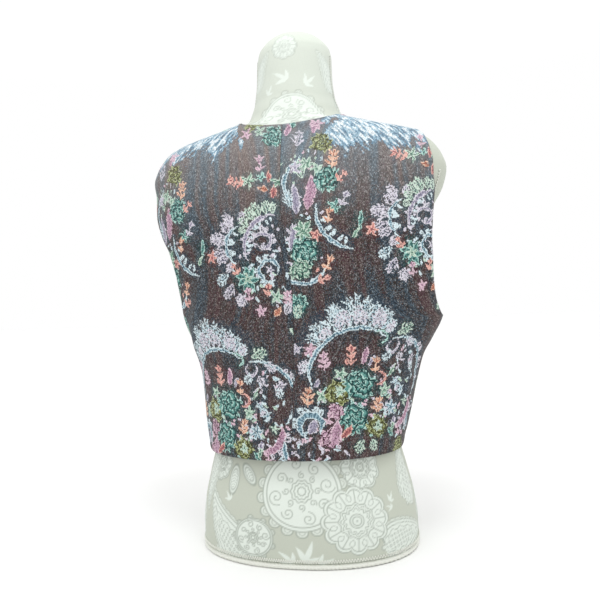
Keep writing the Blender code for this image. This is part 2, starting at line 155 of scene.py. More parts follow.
# The armhole's edge, as the angle that it has turned back or forward from the side
ArmholeLevel = namedtuple("ArmholeLevel", "height back_left_degrees back_right_degrees front_degrees")
ARMHOLE_LEVELS = [
    ArmholeLevel(0.284, 0.0, 0.0, 0.0),
    ArmholeLevel(0.288, 5.0, 5.0, 8.0),
    ArmholeLevel(0.295, 9.0, 9.0, 15.0),
    ArmholeLevel(0.306, 12.5, 12.5, 21.0),
    ArmholeLevel(0.325, 15.5, 15.5, 26.0),
    ArmholeLevel(0.350, 18.0, 17.5, 29.0),
    ArmholeLevel(0.375, 18.0, 18.0, 29.0),
    ArmholeLevel(0.395, 14.5, 17.5, 29.0),
    ArmholeLevel(0.420, 11.0, 16.5, 27.0),
    ArmholeLevel(0.440, 9.5, 16.0, 25.0),
]

# Troughs and ridges of the worn cloth: the solids' own, then finer creases that soften the surface between
# them. Angles run from the wearer's left (0) by the back (90) to the right (180).
Fold = namedtuple("Fold", "degrees height tilt length width rise")
FOLDS = [
    Fold(180.0, 0.284, 0.0, 0.030, 0.026, 0.0045),
    Fold(158.0, 0.262, -52.0, 0.060, 0.012, -0.0022),
    Fold(22.0, 0.300, 55.0, 0.075, 0.010, -0.0024),
    Fold(38.0, 0.285, 60.0, 0.060, 0.011, 0.0018),
    Fold(96.0, 0.272, 80.0, 0.045, 0.009, -0.0020),
    Fold(83.0, 0.225, 74.0, 0.055, 0.012, 0.0016),
    Fold(128.0, 0.205, 66.0, 0.060, 0.013, -0.0018),
    Fold(52.0, 0.190, 82.0, 0.055, 0.012, -0.0016),
    Fold(8.0, 0.150, 70.0, 0.030, 0.016, 0.0030),
    Fold(-40.0, 0.250, 40.0, 0.060, 0.013, -0.0020),
    Fold(-62.0, 0.205, -58.0, 0.055, 0.013, 0.0018),
    Fold(216.0, 0.245, -42.0, 0.060, 0.013, -0.0020),
    Fold(240.0, 0.200, 60.0, 0.055, 0.013, 0.0016),
]
CREASES = [
    Fold(146.0, 0.250, -38.0, 0.040, 0.006, 0.0009),
    Fold(165.0, 0.236, -60.0, 0.032, 0.005, -0.0011),
    Fold(170.0, 0.262, -28.0, 0.024, 0.005, 0.0010),
    Fold(30.0, 0.262, 50.0, 0.045, 0.006, -0.0010),
    Fold(14.0, 0.246, 62.0, 0.030, 0.006, 0.0010),
    Fold(84.0, 0.300, 86.0, 0.050, 0.007, -0.0011),
    Fold(99.0, 0.215, 84.0, 0.040, 0.006, 0.0009),
    Fold(112.0, 0.162, 76.0, 0.028, 0.007, -0.0009),
    Fold(66.0, 0.158, 98.0, 0.030, 0.007, -0.0009),
    Fold(44.0, 0.360, 64.0, 0.035, 0.008, -0.0008),
    Fold(133.0, 0.372, -60.0, 0.038, 0.008, -0.0008),
    Fold(-28.0, 0.286, 48.0, 0.040, 0.006, 0.0010),
    Fold(208.0, 0.284, -46.0, 0.040, 0.006, -0.0010),
    Fold(-78.0, 0.262, 82.0, 0.030, 0.006, -0.0008),
    Fold(252.0, 0.150, 88.0, 0.028, 0.007, 0.0008),
]


def smooth(part):
    """An even S curve from 0 to 1."""
    return part * part * (3 - 2 * part)


def read_levels(levels, heights):
    """A table's columns at the given heights, on smooth curves that never overshoot its rows."""
    rows = np.array(levels, float)
    level, value = rows[:, 0], rows[:, 1:]
    slope = np.diff(value, axis=0) / np.diff(level)[:, None]
    below, above = slope[:-1], slope[1:]
    total = np.where(below * above > 0, below + above, 1.0)
    tangent = np.zeros_like(value)
    tangent[1:-1] = np.where(below * above > 0, 2 * below * above / total, 0.0)
    heights = np.clip(heights, level[0], level[-1])
    row = np.clip(np.searchsorted(level, heights, side="right") - 1, 0, len(level) - 2)
    span = (level[row + 1] - level[row])[:, None]
    part = (heights[:, None] - level[row][:, None]) / span
    rise = smooth(part)
    leave = part * (1 - part) ** 2
    arrive = part * part * (part - 1)
    return (
        value[row] * (1 - rise)
        + value[row + 1] * rise
        + span * (tangent[row] * leave + tangent[row + 1] * arrive)
    ).T


def ring_points(levels, angles, heights):
    """Points on a shape's surface, at angles from +X towards +Y round its centre line."""
    half_width, back, front, lean, squareness = read_levels(levels, heights)
    across, along = np.cos(angles), np.sin(angles)
    depth = np.where(along > 0, back, front)
    reach = np.abs(across / half_width) ** squareness + np.abs(along / depth) ** squareness
    radius = reach ** (-1 / squareness)
    return np.stack([radius * across, radius * along + lean, heights], axis=-1)


def outwardness(levels, points):
    """Below 1 inside a shape and above 1 outside it."""
    half_width, back, front, lean, squareness = read_levels(levels, points[:, 2])
    y = points[:, 1] - lean
    depth = np.where(y > 0, back, front)
    return np.abs(points[:, 0] / half_width) ** squareness + np.abs(y / depth) ** squareness


def outward(levels, points):
    """Unit normals of a shape at points on its surface."""
    slopes = []
    for axis in np.eye(3):
        ahead, behind = points + axis * SLOPE_STEP, points - axis * SLOPE_STEP
        slopes.append(outwardness(levels, ahead) - outwardness(levels, behind))
    normals = np.stack(slopes, axis=-1)
    return normals / np.linalg.norm(normals, axis=-1, keepdims=True)


def cast_out(levels, guides, directions):
    """Where lines through the guide points leave the shape, searched a short way inside and outside."""
    inner = np.full(len(guides), -SEARCH_REACH)
    outer = np.full(len(guides), SEARCH_REACH)
    for _ in range(SEARCH_HALVINGS):
        middle = (inner + outer) / 2
        is_out = outwardness(levels, guides + directions * middle[:, None]) > 1
        outer = np.where(is_out, middle, outer)
        inner = np.where(is_out, inner, middle)
    return guides + directions * inner[:, None]


def vest_levels():
    """The vest's own levels, then the form's arm caps, shoulders and neck with room for the cloth on them."""
    levels = list(VEST_LEVELS)
    for level in FORM_LEVELS:
        if level.height < CAPS_START:
            continue
        on_top = level.height > CAPS_WIDEST
        room = CLOTH + (CAP_GAP if on_top else SIDE_GAP)
        lift = CLOTH + RESTING_GAP if on_top else 0.0
        neck_room = NECK_GAP if level.height > NECK_START else 0.0
        sides = (level.half_width + room, level.back + room + neck_room, level.front + room)
        levels.append(Level(level.height + lift, *sides, level.lean, level.squareness))
    return levels


def fold_rise(points):
    """How far the worn cloth's folds and creases lift points of the vest's surface."""
    angle = np.arctan2(points[:, 1], points[:, 0])
    girth = np.hypot(points[:, 0], points[:, 1])
    rise = np.zeros(len(points))
    for fold in FOLDS + CREASES:
        turn = angle - math.radians(fold.degrees)
        turn = (turn + math.pi) % (2 * math.pi) - math.pi
        across, up = turn * girth, points[:, 2] - fold.height
        lean = math.radians(fold.tilt)
        along = across * math.cos(lean) + up * math.sin(lean)
        aside = up * math.cos(lean) - across * math.sin(lean)
        rise += fold.rise * np.exp(-((along / fold.length) ** 2) - (aside / fold.width) ** 2)
    return rise


def smooth_step(value, start, end):
    return smooth(np.clip((value - start) / (end - start), 0, 1))


def centre_edge(is_front, height):
    """How far a panel's centre edge lies from the centre line: a seam behind, a lap and a V neck in front."""
    if not is_front:
        return SEAM_GAP / 2
    climb = (height - FRONT_BREAK) / (NECK_SIDE - FRONT_BREAK)
    return -OVERLAP + (NECK_SIDE_X + OVERLAP) * max(0.0, climb)


def armhole_angle(is_front, is_left, height):
    """How far the armhole's edge has turned from the side at a height, in radians."""
    back_left, back_right, front = read_levels(ARMHOLE_LEVELS, np.array([height]))[:, 0]
    if is_front:
        return math.radians(front)
    return math.radians(back_left if is_left else back_right)


def panel_row(levels, is_front, is_left, height, columns):
    """A level row of a panel, drawn on the left, from its centre edge to the side seam or the armhole."""
    facing = -1 if is_front else 1
    half_width, back, front = read_levels(levels, np.array([height]))[:3, 0]
    depth = front if is_front else back
    centre = facing * (math.pi / 2 - math.asin(centre_edge(is_front, height) / depth))
    seam = math.asin(SEAM_GAP / 2 / half_width)
    side = facing * max(seam, armhole_angle(is_front, is_left, height))
    angles = centre + (side - centre) * columns
    return ring_points(levels, angles, np.full(len(columns), height)), angles


def top_edge(levels, is_front, tip_x, columns):
    """The panel's top edge, any back neckline and then the shoulder seam, with its upward normals."""
    facing = -1 if is_front else 1
    neck_share = 0.0 if is_front else NECK_SHARE
    out_along = np.clip((columns - neck_share) / (1 - neck_share), 0, 1)
    x = NECK_SIDE_X + (tip_x - NECK_SIDE_X) * out_along
    y = np.full(len(x), SHOULDER_SEAM_Y + facing * SEAM_GAP / 2)
    up = np.tile([0.0, 0.0, 1.0], (len(x), 1))
    edge = cast_out(levels, np.stack([x, y, np.full(len(x), BACK_NECK)], axis=-1), up)
    normals = up
    round_neck = out_along == 0
    if not is_front:
        part = np.sin(columns[round_neck] / neck_share * math.pi / 2)
        angles = np.arccos(np.clip(part, SEAM_GAP / 2 / NECK_SIDE_X, 1))
        heights = BACK_NECK + (edge[round_neck, 2] - BACK_NECK) * part**2
        edge[round_neck] = ring_points(levels, angles, heights)
        normals[round_neck] = outward(levels, edge[round_neck])
    return edge, normals


def panel_grid(levels, is_front, is_left, columns, side_rows, armhole_rows, shoulder_rows):
    """Points outside a panel, drawn on the left, one row after another from the hem to the shoulder seam."""
    across = np.linspace(0, 1, columns + 1)
    low = np.linspace(HEM, UNDERARM, side_rows + 1)
    high = np.linspace(UNDERARM, SHOULDER_TURN, armhole_rows + 1)[1:]
    rows = []
    for height in list(low) + list(high):
        points, angles = panel_row(levels, is_front, is_left, height, across)
        rows.append(points)
    start = rows[-1]
    level = np.zeros(len(angles))
    start_normal = np.stack([START_SPREAD * np.cos(angles), np.sin(angles), level], axis=-1)
    end, end_normal = top_edge(levels, is_front, LEFT_TIP_X if is_left else RIGHT_TIP_X, across)
    corner = np.stack([(start[:, 0] + end[:, 0]) / 2, start[:, 1], end[:, 2]], axis=-1)
    for part in np.linspace(0, 1, shoulder_rows + 1)[1:-1]:
        guides = start * (1 - part) ** 2 + corner * 2 * part * (1 - part) + end * part**2
        directions = start_normal * (1 - part) + end_normal * part
        directions /= np.linalg.norm(directions, axis=-1, keepdims=True)
        if not is_front:
            guides[0, 0] = SEAM_GAP / 2
            directions[0, 0] = 0.0
            directions[0] /= np.linalg.norm(directions[0])
        rows.append(cast_out(levels, guides, directions))
    rows.append(end)
    return np.array(rows)


# Yarns of the jacquard, as sRGB hex. A tone is one colour of thread in one lighting of its float.
YARNS = [
    ("soot", "#292727"),
    ("umber", "#42302a"),
    ("wine ground", "#462932"),
    ("slate ground", "#293846"),
    ("teal ground", "#183a3b"),
    ("olive ground", "#3c3d20"),
    ("rust ground", "#4d2b2c"),
    ("ice dark", "#5c7e8f"),
    ("ice", "#a3c2cf"),
    ("ice light", "#dbebf0"),
    ("lilac dark", "#8a859c"),
    ("lilac", "#b8b2c5"),
    ("lilac light", "#e0dce6"),
    ("teal dark", "#35625f"),
    ("teal", "#6aa39b"),
    ("teal light", "#b9ded5"),
    ("sage dark", "#5f8573"),
    ("sage", "#9cc1ad"),
    ("sage light", "#d2e5d6"),
    ("olive dark", "#54552f"),
    ("olive", "#858b55"),
    ("olive light", "#c3cb9b"),
    ("coral dark", "#93555a"),
    ("coral", "#cd857f"),
    ("coral light", "#eebcb0"),
    ("peach dark", "#a2624f"),
    ("peach", "#d8957c"),
    ("peach light", "#f2ccb4"),
    ("pink dark", "#a27a92"),
    ("pink", "#cdaabd"),
    ("pink light", "#e8cbd7"),
    # Pale blue tones laid only as the painted highlight where light gleams on the shoulders
    ("sky dark", "#6c8ca3"),
    ("sky", "#a6c5d6"),
    ("sky light", "#edf6fb"),
]

# The light threads of the ground, which change along the warp
WARM_THREAD = "#aca19b"
COOL_THREAD = "#98a9b4"
TONE = {name: number for number, (name, _) in enumerate(YARNS)}
NO_FIGURE = 255

# Each family of yarns with the darker ground that is woven round it
Family = namedtuple("Family", "ground dark middle light")
ICE = Family("slate ground", "ice dark", "ice", "ice light")
LILAC = Family("slate ground", "lilac dark", "lilac", "lilac light")
TEAL = Family("teal ground", "teal dark", "teal", "teal light")
SAGE = Family("teal ground", "sage dark", "sage", "sage light")
OLIVE = Family("olive ground", "olive dark", "olive", "olive light")
CORAL = Family("rust ground", "coral dark", "coral", "coral light")
PEACH = Family("rust ground", "peach dark", "peach", "peach light")
PINK = Family("wine ground", "pink dark", "pink", "pink light")

# The woven repeat, drawn at two points to the millimetre
REPEAT_WIDTH = 200
REPEAT_HEIGHT = 430
POINTS_PER_MM = 2

Rose = namedtuple("Rose", "x y radius turn family")
Star = namedtuple("Star", "x y radius points turn family")
Leaf = namedtuple("Leaf", "x y degrees length width family")
Frond = namedtuple("Frond", "x y degrees length width family")
Sprig = namedtuple("Sprig", "x y degrees size pairs family")
Scroll = namedtuple("Scroll", "x y radius start sweep curl width family")
Crest = namedtuple("Crest", "x y radius start sweep curl count length lean family")
Strew = namedtuple("Strew", "x y reach_x reach_y count length families")

# The bouquet under an arched scroll. Millimetres from its middle, x to the right and y up, as it is seen
ARCH_BOUQUET = [
    Strew(-6, -22, 54, 42, 60, 7, (SAGE, ICE, LILAC, TEAL, PINK)),
    Strew(56, -10, 30, 56, 54, 7, (SAGE, ICE, LILAC, ICE, PINK)),
    Strew(-54, -68, 34, 20, 34, 7, (ICE, LILAC, PINK, LILAC)),
    Rose(-38, -58, 12, 0, PINK),
    Scroll(-84, -62, 13, 150, 160, 0.03, 4.0, LILAC),
    Crest(-6, 22, 54, 184, -26, 0.02, 3, 11, 30, ICE),
    Crest(-6, 22, 53, 150, -100, 0.02, 12, 34, -6, ICE),
    Crest(-6, 22, 54, 142, -92, 0.02, 9, 22, 16, LILAC),
    Scroll(-6, 22, 53, 206, -158, 0.03, 5.0, ICE),
    Scroll(20, 58, 9, 130, -230, 0.10, 2.8, TEAL),
    Scroll(46, 14, 43, 104, -150, 0.0, 5.0, ICE),
    Scroll(36, 48, 10, 60, -300, 0.12, 3.0, LILAC),
    Frond(40, 62, 24, 24, 9, SAGE),
    Frond(54, 54, -20, 18, 7, LILAC),
    Frond(34, 44, 250, 16, 6, ICE),
    Frond(46, 40, 290, 13, 6, LILAC),
    Crest(46, 14, 44, 52, -70, 0.0, 5, 10, 30, LILAC),
    Frond(66, 18, 62, 20, 8, LILAC),
    Frond(72, 12, 100, 15, 6, ICE),
    Sprig(-12, 26, 94, 26, 3, CORAL),
    Sprig(-40, 22, 104, 25, 3, PINK),
    Leaf(2, 28, 80, 22, 7, PINK),
    Leaf(9, 26, 58, 15, 5, LILAC),
    Sprig(18, 16, 88, 20, 2, PEACH),
    Scroll(24, 10, 8, 120, -250, 0.06, 3.6, CORAL),
    Sprig(18, -32, 74, 22, 3, PEACH),
    Sprig(-62, -20, 82, 26, 3, PEACH),
    Star(-44, -8, 9, 5, 10, SAGE),
    Leaf(-52, 2, 70, 12, 5, LILAC),
    Star(30, -4, 9, 5, 20, SAGE),
    Star(46, 4, 8, 5, 50, ICE),
    Leaf(36, 12, 60, 15, 5, SAGE),
    Star(54, -6, 7, 5, 40, ICE),
    Star(62, -22, 6, 5, 0, SAGE),
    Rose(-26, -4, 14, 10, OLIVE),
    Star(-24, -3, 8, 6, 10, SAGE),
    Star(-22, 18, 9, 5, 0, SAGE),
    Rose(0, 4, 18, 0, TEAL),
    Rose(-8, -35, 18, 30, TEAL),
    Rose(20, -48, 13, 0, OLIVE),
    Star(21, -47, 7, 6, 10, SAGE),
    Star(39, -27, 10, 6, 20, ICE),
    Rose(-30, -26, 9, 0, PINK),
    Star(-60, 47, 9, 5, 12, PINK),
    Star(-77, 48, 8, 5, 30, LILAC),
    Frond(-70, 18, 70, 20, 7, LILAC),
    Leaf(-78, 10, 100, 15, 5, ICE),
    Leaf(-34, -66, 78, 30, 13, PINK),
    Leaf(-24, -58, 50, 20, 7, CORAL),
    Sprig(-42, -42, 62, 18, 2, PINK),
    Scroll(-58, -42, 15, 250, -300, 0.05, 8.0, ICE),
    Crest(-58, -44, 17, 190, -150, 0.0, 6, 11, 26, ICE),
    Leaf(-60, -52, 70, 18, 11, LILAC),
    Scroll(50, -28, 21, -100, 124, 0.0, 9.0, PINK),
    Crest(50, -28, 24, -80, 90, 0.0, 5, 9, 20, LILAC),
    Frond(2, -62, 240, 18, 8, SAGE),
    Frond(12, -62, 285, 16, 7, SAGE),
    Leaf(36, -50, 300, 16, 6, TEAL),
    Leaf(46, -38, 250, 17, 6, LILAC),
    Leaf(40, -58, 80, 14, 6, SAGE),
    Sprig(54, -64, 100, 16, 2, PINK),
    Leaf(74, -60, 96, 24, 6, ICE),
]

# The looser bouquet above: a tall spray of leaves, a curled scroll and a lacy crest beside it
FAN_BOUQUET = [
    Strew(36, 56, 30, 44, 26, 5, (SAGE, LILAC, ICE, PINK, TEAL)),
    Strew(6, -36, 50, 30, 30, 5, (SAGE, ICE, LILAC, CORAL)),
    Strew(-14, -6, 46, 44, 46, 6, (ICE, LILAC, ICE, LILAC)),
    Crest(-8, 10, 33, 196, -112, 0.02, 8, -10, -18, ICE),
    Crest(-20, 14, 13, 190, -250, 0.09, 7, 8, 26, LILAC),
    Crest(-13, -19, 16, 300, -250, 0.05, 7, 8, 24, ICE),
    Crest(-42, 12, 26, 236, -120, 0.0, 7, 22, -14, LILAC),
    Crest(-42, 12, 23, 226, -100, 0.0, 5, -11, -24, ICE),
    Scroll(-42, 12, 25, 240, -128, 0.0, 4.6, ICE),
    Frond(-60, 34, 112, 20, 8, LILAC),
    Frond(-48, 36, 80, 17, 7, LILAC),
    Frond(-66, -22, 212, 20, 8, ICE),
    Frond(-60, -34, 236, 20, 8, LILAC),
    Frond(-50, -44, 250, 17, 7, LILAC),
    Crest(-8, 10, 37, 160, -78, 0.02, 6, 18, 8, SAGE),
    Scroll(-8, 10, 36, 208, -124, 0.02, 5.4, LILAC),
    Scroll(-20, 14, 12, 190, -330, 0.09, 4.4, LILAC),
    Scroll(-13, -19, 14, 300, -330, 0.05, 4.6, ICE),
    Star(-13, -19, 6, 5, 0, LILAC),
    Scroll(44, 58, 33, 118, 106, 0.0, 4.8, ICE),
    Leaf(38, 26, 82, 42, 13, PINK),
    Leaf(26, 22, 96, 36, 10, LILAC),
    Frond(32, 64, 100, 26, 10, SAGE),
    Star(38, 82, 11, 6, 0, SAGE),
    Star(24, 78, 9, 5, 20, LILAC),
    Star(50, 74, 9, 5, 40, SAGE),
    Frond(20, 30, 112, 22, 8, ICE),
    Rose(62, 62, 15, 12, TEAL),
    Sprig(66, 74, 80, 24, 3, PEACH),
    Sprig(72, 58, 40, 18, 2, CORAL),
    Sprig(76, 28, 62, 20, 2, LILAC),
    Star(70, 28, 10, 5, 0, TEAL),
    Rose(55, 108, 13, 0, OLIVE),
    Leaf(46, 122, 100, 18, 8, PINK),
    Star(48, 136, 9, 5, 0, PINK),
    Frond(26, 104, 86, 24, 8, LILAC),
    Leaf(12, 120, 84, 20, 8, PINK),
    Leaf(18, 132, 70, 14, 6, TEAL),
    Rose(-10, 144, 14, 20, TEAL),
    Rose(-36, 168, 11, 0, OLIVE),
    Star(-44, 152, 9, 5, 0, PINK),
    Star(-28, 154, 8, 5, 30, SAGE),
    Sprig(-24, 98, 94, 22, 2, PINK),
    Sprig(-42, 84, 160, 26, 3, CORAL),
    Star(-38, 88, 10, 5, 0, SAGE),
    Star(-22, 92, 7, 5, 0, TEAL),
    Leaf(-12, 84, 100, 15, 6, CORAL),
    Star(0, 84, 11, 5, 12, SAGE),
    Leaf(-8, 64, 84, 17, 8, CORAL),
    Leaf(-14, 74, 160, 14, 6, PEACH),
    Scroll(94, 24, 45, 168, 98, 0.0, 4.6, ICE),
    Crest(94, 24, 42, 190, 70, 0.0, 5, -12, -20, ICE),
    Leaf(98, 2, 84, 20, 6, TEAL),
    Leaf(90, -8, 60, 15, 5, SAGE),
    Star(112, 0, 9, 5, 0, CORAL),
    Sprig(62, 8, 84, 20, 2, PEACH),
    Leaf(18, -20, 84, 32, 8, LILAC),
    Star(33, 2, 13, 7, 8, SAGE),
    Star(48, -4, 8, 5, 0, CORAL),
    Rose(34, -22, 16, 0, TEAL),
    Rose(28, -42, 12, 50, SAGE),
    Scroll(31, -30, 29, 200, 140, 0.0, 4.4, ICE),
    Sprig(56, -46, 64, 22, 2, PEACH),
    Sprig(48, -56, 20, 16, 2, CORAL),
    Star(-41, -28, 16, 7, 0, TEAL),
    Star(-41, -28, 8, 5, 30, SAGE),
    Sprig(-52, -22, 120, 16, 2, CORAL),
    Frond(-44, -46, 236, 18, 7, LILAC),
    Sprig(-40, -56, 96, 18, 2, PINK),
    Sprig(-18, -50, 80, 16, 2, CORAL),
    Star(-6, -50, 9, 5, 0, SAGE),
    Sprig(8, -62, 96, 20, 3, PINK),
    Star(-28, -66, 8, 5, 20, PINK),
    Frond(0, -70, 50, 16, 6, LILAC),
    Leaf(-14, -72, 40, 15, 7, PEACH),
    Rose(24, -84, 12, 0, TEAL),
    Frond(24, -98, 84, 16, 6, SAGE),
    Leaf(6, -96, 110, 10, 5, SAGE),
]

# Where in the repeat the middle of each bouquet lies, in millimetres
BOUQUETS = [(ARCH_BOUQUET, -94, 60), (FAN_BOUQUET, 0, 243)]


class Repeat:
    """The woven repeat in two layers of tones, the ground and the figure over it. Both wrap at the edges."""

    def __init__(self):
        size = (REPEAT_HEIGHT * POINTS_PER_MM, REPEAT_WIDTH * POINTS_PER_MM)
        self.hand = np.random.default_rng(3)
        self.ragged = self.hand.random(size)
        self.wander = [wrapped_noise(size, 9, seed) * 2.6 - 1.3 for seed in (4, 5)]
        self.ground = np.full(size, NO_FIGURE, np.uint8)
        self.figure = np.full(size, NO_FIGURE, np.uint8)

    def near(self, x, y, reach):
        """The points within reach of a place: rows, columns and offsets in millimetres, as a hand wanders."""
        steps = np.arange(-math.ceil(reach * POINTS_PER_MM), math.ceil(reach * POINTS_PER_MM) + 1)
        row = round(y * POINTS_PER_MM) + steps
        column = round(x * POINTS_PER_MM) + steps
        rows, columns = np.meshgrid(row, column, indexing="ij")
        aside, up = columns / POINTS_PER_MM - x, rows / POINTS_PER_MM - y
        rows, columns = rows % self.ground.shape[0], columns % self.ground.shape[1]
        return rows, columns, aside + self.wander[0][rows, columns], up + self.wander[1][rows, columns]

    def lay(self, rows, columns, chosen, tone):
        self.figure[rows[chosen], columns[chosen]] = TONE[tone]

    def shade(self, x, y, reach, family, share=0.7):
        """Weaves the family's ground in a ragged round patch."""
        rows, columns, aside, up = self.near(x, y, reach)
        away = np.hypot(aside, up) / reach
        chosen = away < share + (1 - share) * self.ragged[rows, columns]
        self.ground[rows[chosen], columns[chosen]] = TONE[family.ground]

    def leaf(self, x, y, degrees, length, width, family, is_open=False):
        """A pointed leaf: light edge, slanted veins, dark middle. An open one is only its edge and veins."""
        turn = math.radians(degrees)
        rows, columns, aside, up = self.near(x, y, abs(length) + width)
        along = (aside * math.cos(turn) + up * math.sin(turn)) / length
        across = (up * math.cos(turn) - aside * math.sin(turn)) + 0.14 * length * along * (1 - along)
        inside = (along > 0) & (along < 1)
        half = width / 2 * np.sin(np.pi * np.clip(along, 0, 1) ** 0.8) ** 0.75
        off = np.abs(across)
        body = inside & (off < half)
        vein = (along * abs(length) + off * 0.9) % 3.4 < 1.2
        if is_open:
            self.ground[rows[body], columns[body]] = TONE[family.ground]
            self.lay(rows, columns, body & vein & (width > 6), family.middle)
        else:
            self.lay(rows, columns, body, family.middle)
            self.lay(rows, columns, body & vein & (width > 5), family.dark)
        self.lay(rows, columns, body & (off > half - 1.1), family.light)
        spine = body & (off < 0.5) & (along < 0.8) & (width > 4)
        self.lay(rows, columns, spine, family.light if is_open else family.dark)

    def frond(self, x, y, degrees, length, width, family):
        """An acanthus blade: an open leaf with barbs along both edges."""
        self.leaf(x, y, degrees, length, width, family, is_open=True)
        turn = math.radians(degrees)
        for number in range(3):
            part = 0.25 + 0.25 * number
            for side in (-1, 1):
                barb_x = x + length * part * math.cos(turn) - side * width * 0.3 * math.sin(turn)
                barb_y = y + length * part * math.sin(turn) + side * width * 0.3 * math.cos(turn)
                reach = length * (0.34 - 0.08 * number) * (0.8 + 0.4 * self.hand.random())
                self.leaf(barb_x, barb_y, degrees + side * 42, reach, 1.9, family)

    def stroke(self, x, y, radius, start, sweep, curl, width, family):
        """A curled band, thin at its ends: two light edges with short cross threads between them."""
        rows, columns, aside, up = self.near(x, y, radius + width)
        away = np.hypot(aside, up)
        direction = math.copysign(1.0, sweep)
        turned = (direction * (np.degrees(np.arctan2(up, aside)) - start)) % 360
        part = turned / abs(sweep)
        middle = radius * np.exp(-curl * np.radians(turned))
        half = width / 2 * np.clip(np.sin(np.pi * np.clip(part, 0.05, 0.95)) * 1.5, 0.2, 1)
        off = np.abs(away - middle)
        inside = (part <= 1) & (off < half)
        crossed = (np.radians(turned) * radius) % 4.0 < 1.6
        self.lay(rows, columns, inside, family.dark)
        self.lay(rows, columns, inside & crossed, family.middle)
        self.lay(rows, columns, inside & (away > middle + half - 1.3), family.light)
        self.lay(rows, columns, inside & (away < middle - half + 1.1), family.light)

    def rose(self, x, y, radius, turn, family):
        """A full rose: turns of curved petals round a small heart, and a few pointed tips outside."""
        for _ in range(9):
            tip = self.hand.random() * 360
            start_x = x + radius * 0.6 * math.cos(math.radians(tip))
            start_y = y + radius * 0.6 * math.sin(math.radians(tip))
            lean = tip + (self.hand.random() - 0.5) * 70
            self.leaf(start_x, start_y, lean, radius * 0.6, 4.4, family)
        rows, columns, aside, up = self.near(x, y, radius * 1.1)
        away = np.hypot(aside, up) / radius
        angle = np.arctan2(up, aside) - math.radians(turn)
        edge = 0.80 + 0.16 * np.abs(np.cos(angle * 2.5))
        swirl = (away * 3.4 + 0.33 * np.sin(angle * 5 + away * 6) + angle / (2 * math.pi)) % 1
        inside = away < edge
        self.lay(rows, columns, inside, family.dark)
        self.lay(rows, columns, inside & (swirl < 0.56), family.middle)
        self.lay(rows, columns, inside & (swirl < 0.24), family.light)
        gap = inside & (np.abs(np.sin(angle * 2.5 + away * 3)) < 0.2) & (away > 0.25)
        self.lay(rows, columns, gap | (inside & (swirl > 0.84)), family.ground)

    def star(self, x, y, radius, points, turn, family):
        """A small open flower of separate pointed petals, each with a lighter tip."""
        for number in range(points):
            degrees = turn + number * 360 / points + (self.hand.random() - 0.5) * 16
            reach = radius * (0.85 + 0.3 * self.hand.random())
            self.leaf(x, y, degrees, reach, max(2.8, radius * 0.44), family)
        rows, columns, aside, up = self.near(x, y, 2)
        self.lay(rows, columns, np.hypot(aside, up) < 1.4, family.dark)

    def sprig(self, x, y, degrees, size, pairs, family):
        """A stem with pairs of long pointed leaflets and one at its tip."""
        turn = math.radians(degrees)
        self.leaf(x, y, degrees, size * 0.8, 2.0, family)
        for number in range(pairs):
            part = 0.15 + 0.5 * number / max(1, pairs - 1)
            stem_x, stem_y = x + size * part * math.cos(turn), y + size * part * math.sin(turn)
            for side in (-1, 1):
                spread = 50 - 14 * part + 12 * self.hand.random()
                reach = size * (0.42 - 0.14 * part) * (0.8 + 0.4 * self.hand.random())
                self.leaf(stem_x, stem_y, degrees + side * spread, reach, 3.6, family)
        tip_x, tip_y = x + size * 0.55 * math.cos(turn), y + size * 0.55 * math.sin(turn)
        self.leaf(tip_x, tip_y, degrees, size * 0.45, 4.2, family)

    def crest(self, x, y, radius, start, sweep, curl, count, length, lean, family):
        """Acanthus blades side by side along a curl, longest in the middle."""
        for number in range(count):
            part = (number + 0.5) / count
            degrees = start + sweep * part
            turn = math.radians(degrees)
            reach = radius * math.exp(-curl * math.radians(abs(sweep) * part))
            blade = length * (0.6 + 0.4 * math.sin(math.pi * part)) * (0.8 + 0.4 * self.hand.random())
            side = lean * (1 if number % 2 else -0.6) + (self.hand.random() - 0.5) * 14
            width = min(8.0, abs(blade) * 0.42)
            foot_x, foot_y = x + reach * math.cos(turn), y + reach * math.sin(turn)
            self.frond(foot_x, foot_y, degrees + side, blade, width, family)

    def strew(self, x, y, reach_x, reach_y, count, length, families):
        """Tiny leaves between the flowers."""
        for _ in range(count):
            turn, away = self.hand.random() * 2 * math.pi, math.sqrt(self.hand.random())
            place_x, place_y = x + reach_x * away * math.cos(turn), y + reach_y * away * math.sin(turn)
            family = families[int(self.hand.random() * len(families))]
            size = length * (0.6 + 0.9 * self.hand.random())
            self.leaf(place_x, place_y, self.hand.random() * 360, size, 3.0, family)


def between_knots(knots, v, u):
    """Smooth values between the knots of a grid, which wraps at its edges."""
    row, column = v.astype(int), u.astype(int)
    next_row, next_column = (row + 1) % knots.shape[0], (column + 1) % knots.shape[1]
    up, across = smooth(v - row)[:, None], smooth(u - column)[None, :]
    low = knots[np.ix_(row, column)] * (1 - across) + knots[np.ix_(row, next_column)] * across
    high = knots[np.ix_(next_row, column)] * (1 - across) + knots[np.ix_(next_row, next_column)] * across
    return low * (1 - up) + high * up


def wrapped_noise(size, cell, seed):
    """Smooth noise from 0 to 1 that meets itself at the repeat's edges."""
    knots = np.random.default_rng(seed).random((max(2, size[0] // cell), max(2, size[1] // cell)))
    v, u = (np.arange(size[axis]) * knots.shape[axis] / size[axis] for axis in (0, 1))
    return between_knots(knots, v, u)


def soft_noise(shape, cell, seed):
    """Smooth noise from 0 to 1 on a grid of points, with bumps of the given size in rows and columns."""
    knots = np.random.default_rng(seed).random(tuple(int(shape[axis] / cell[axis]) + 3 for axis in (0, 1)))
    return between_knots(knots, np.arange(shape[0]) / cell[0], np.arange(shape[1]) / cell[1])


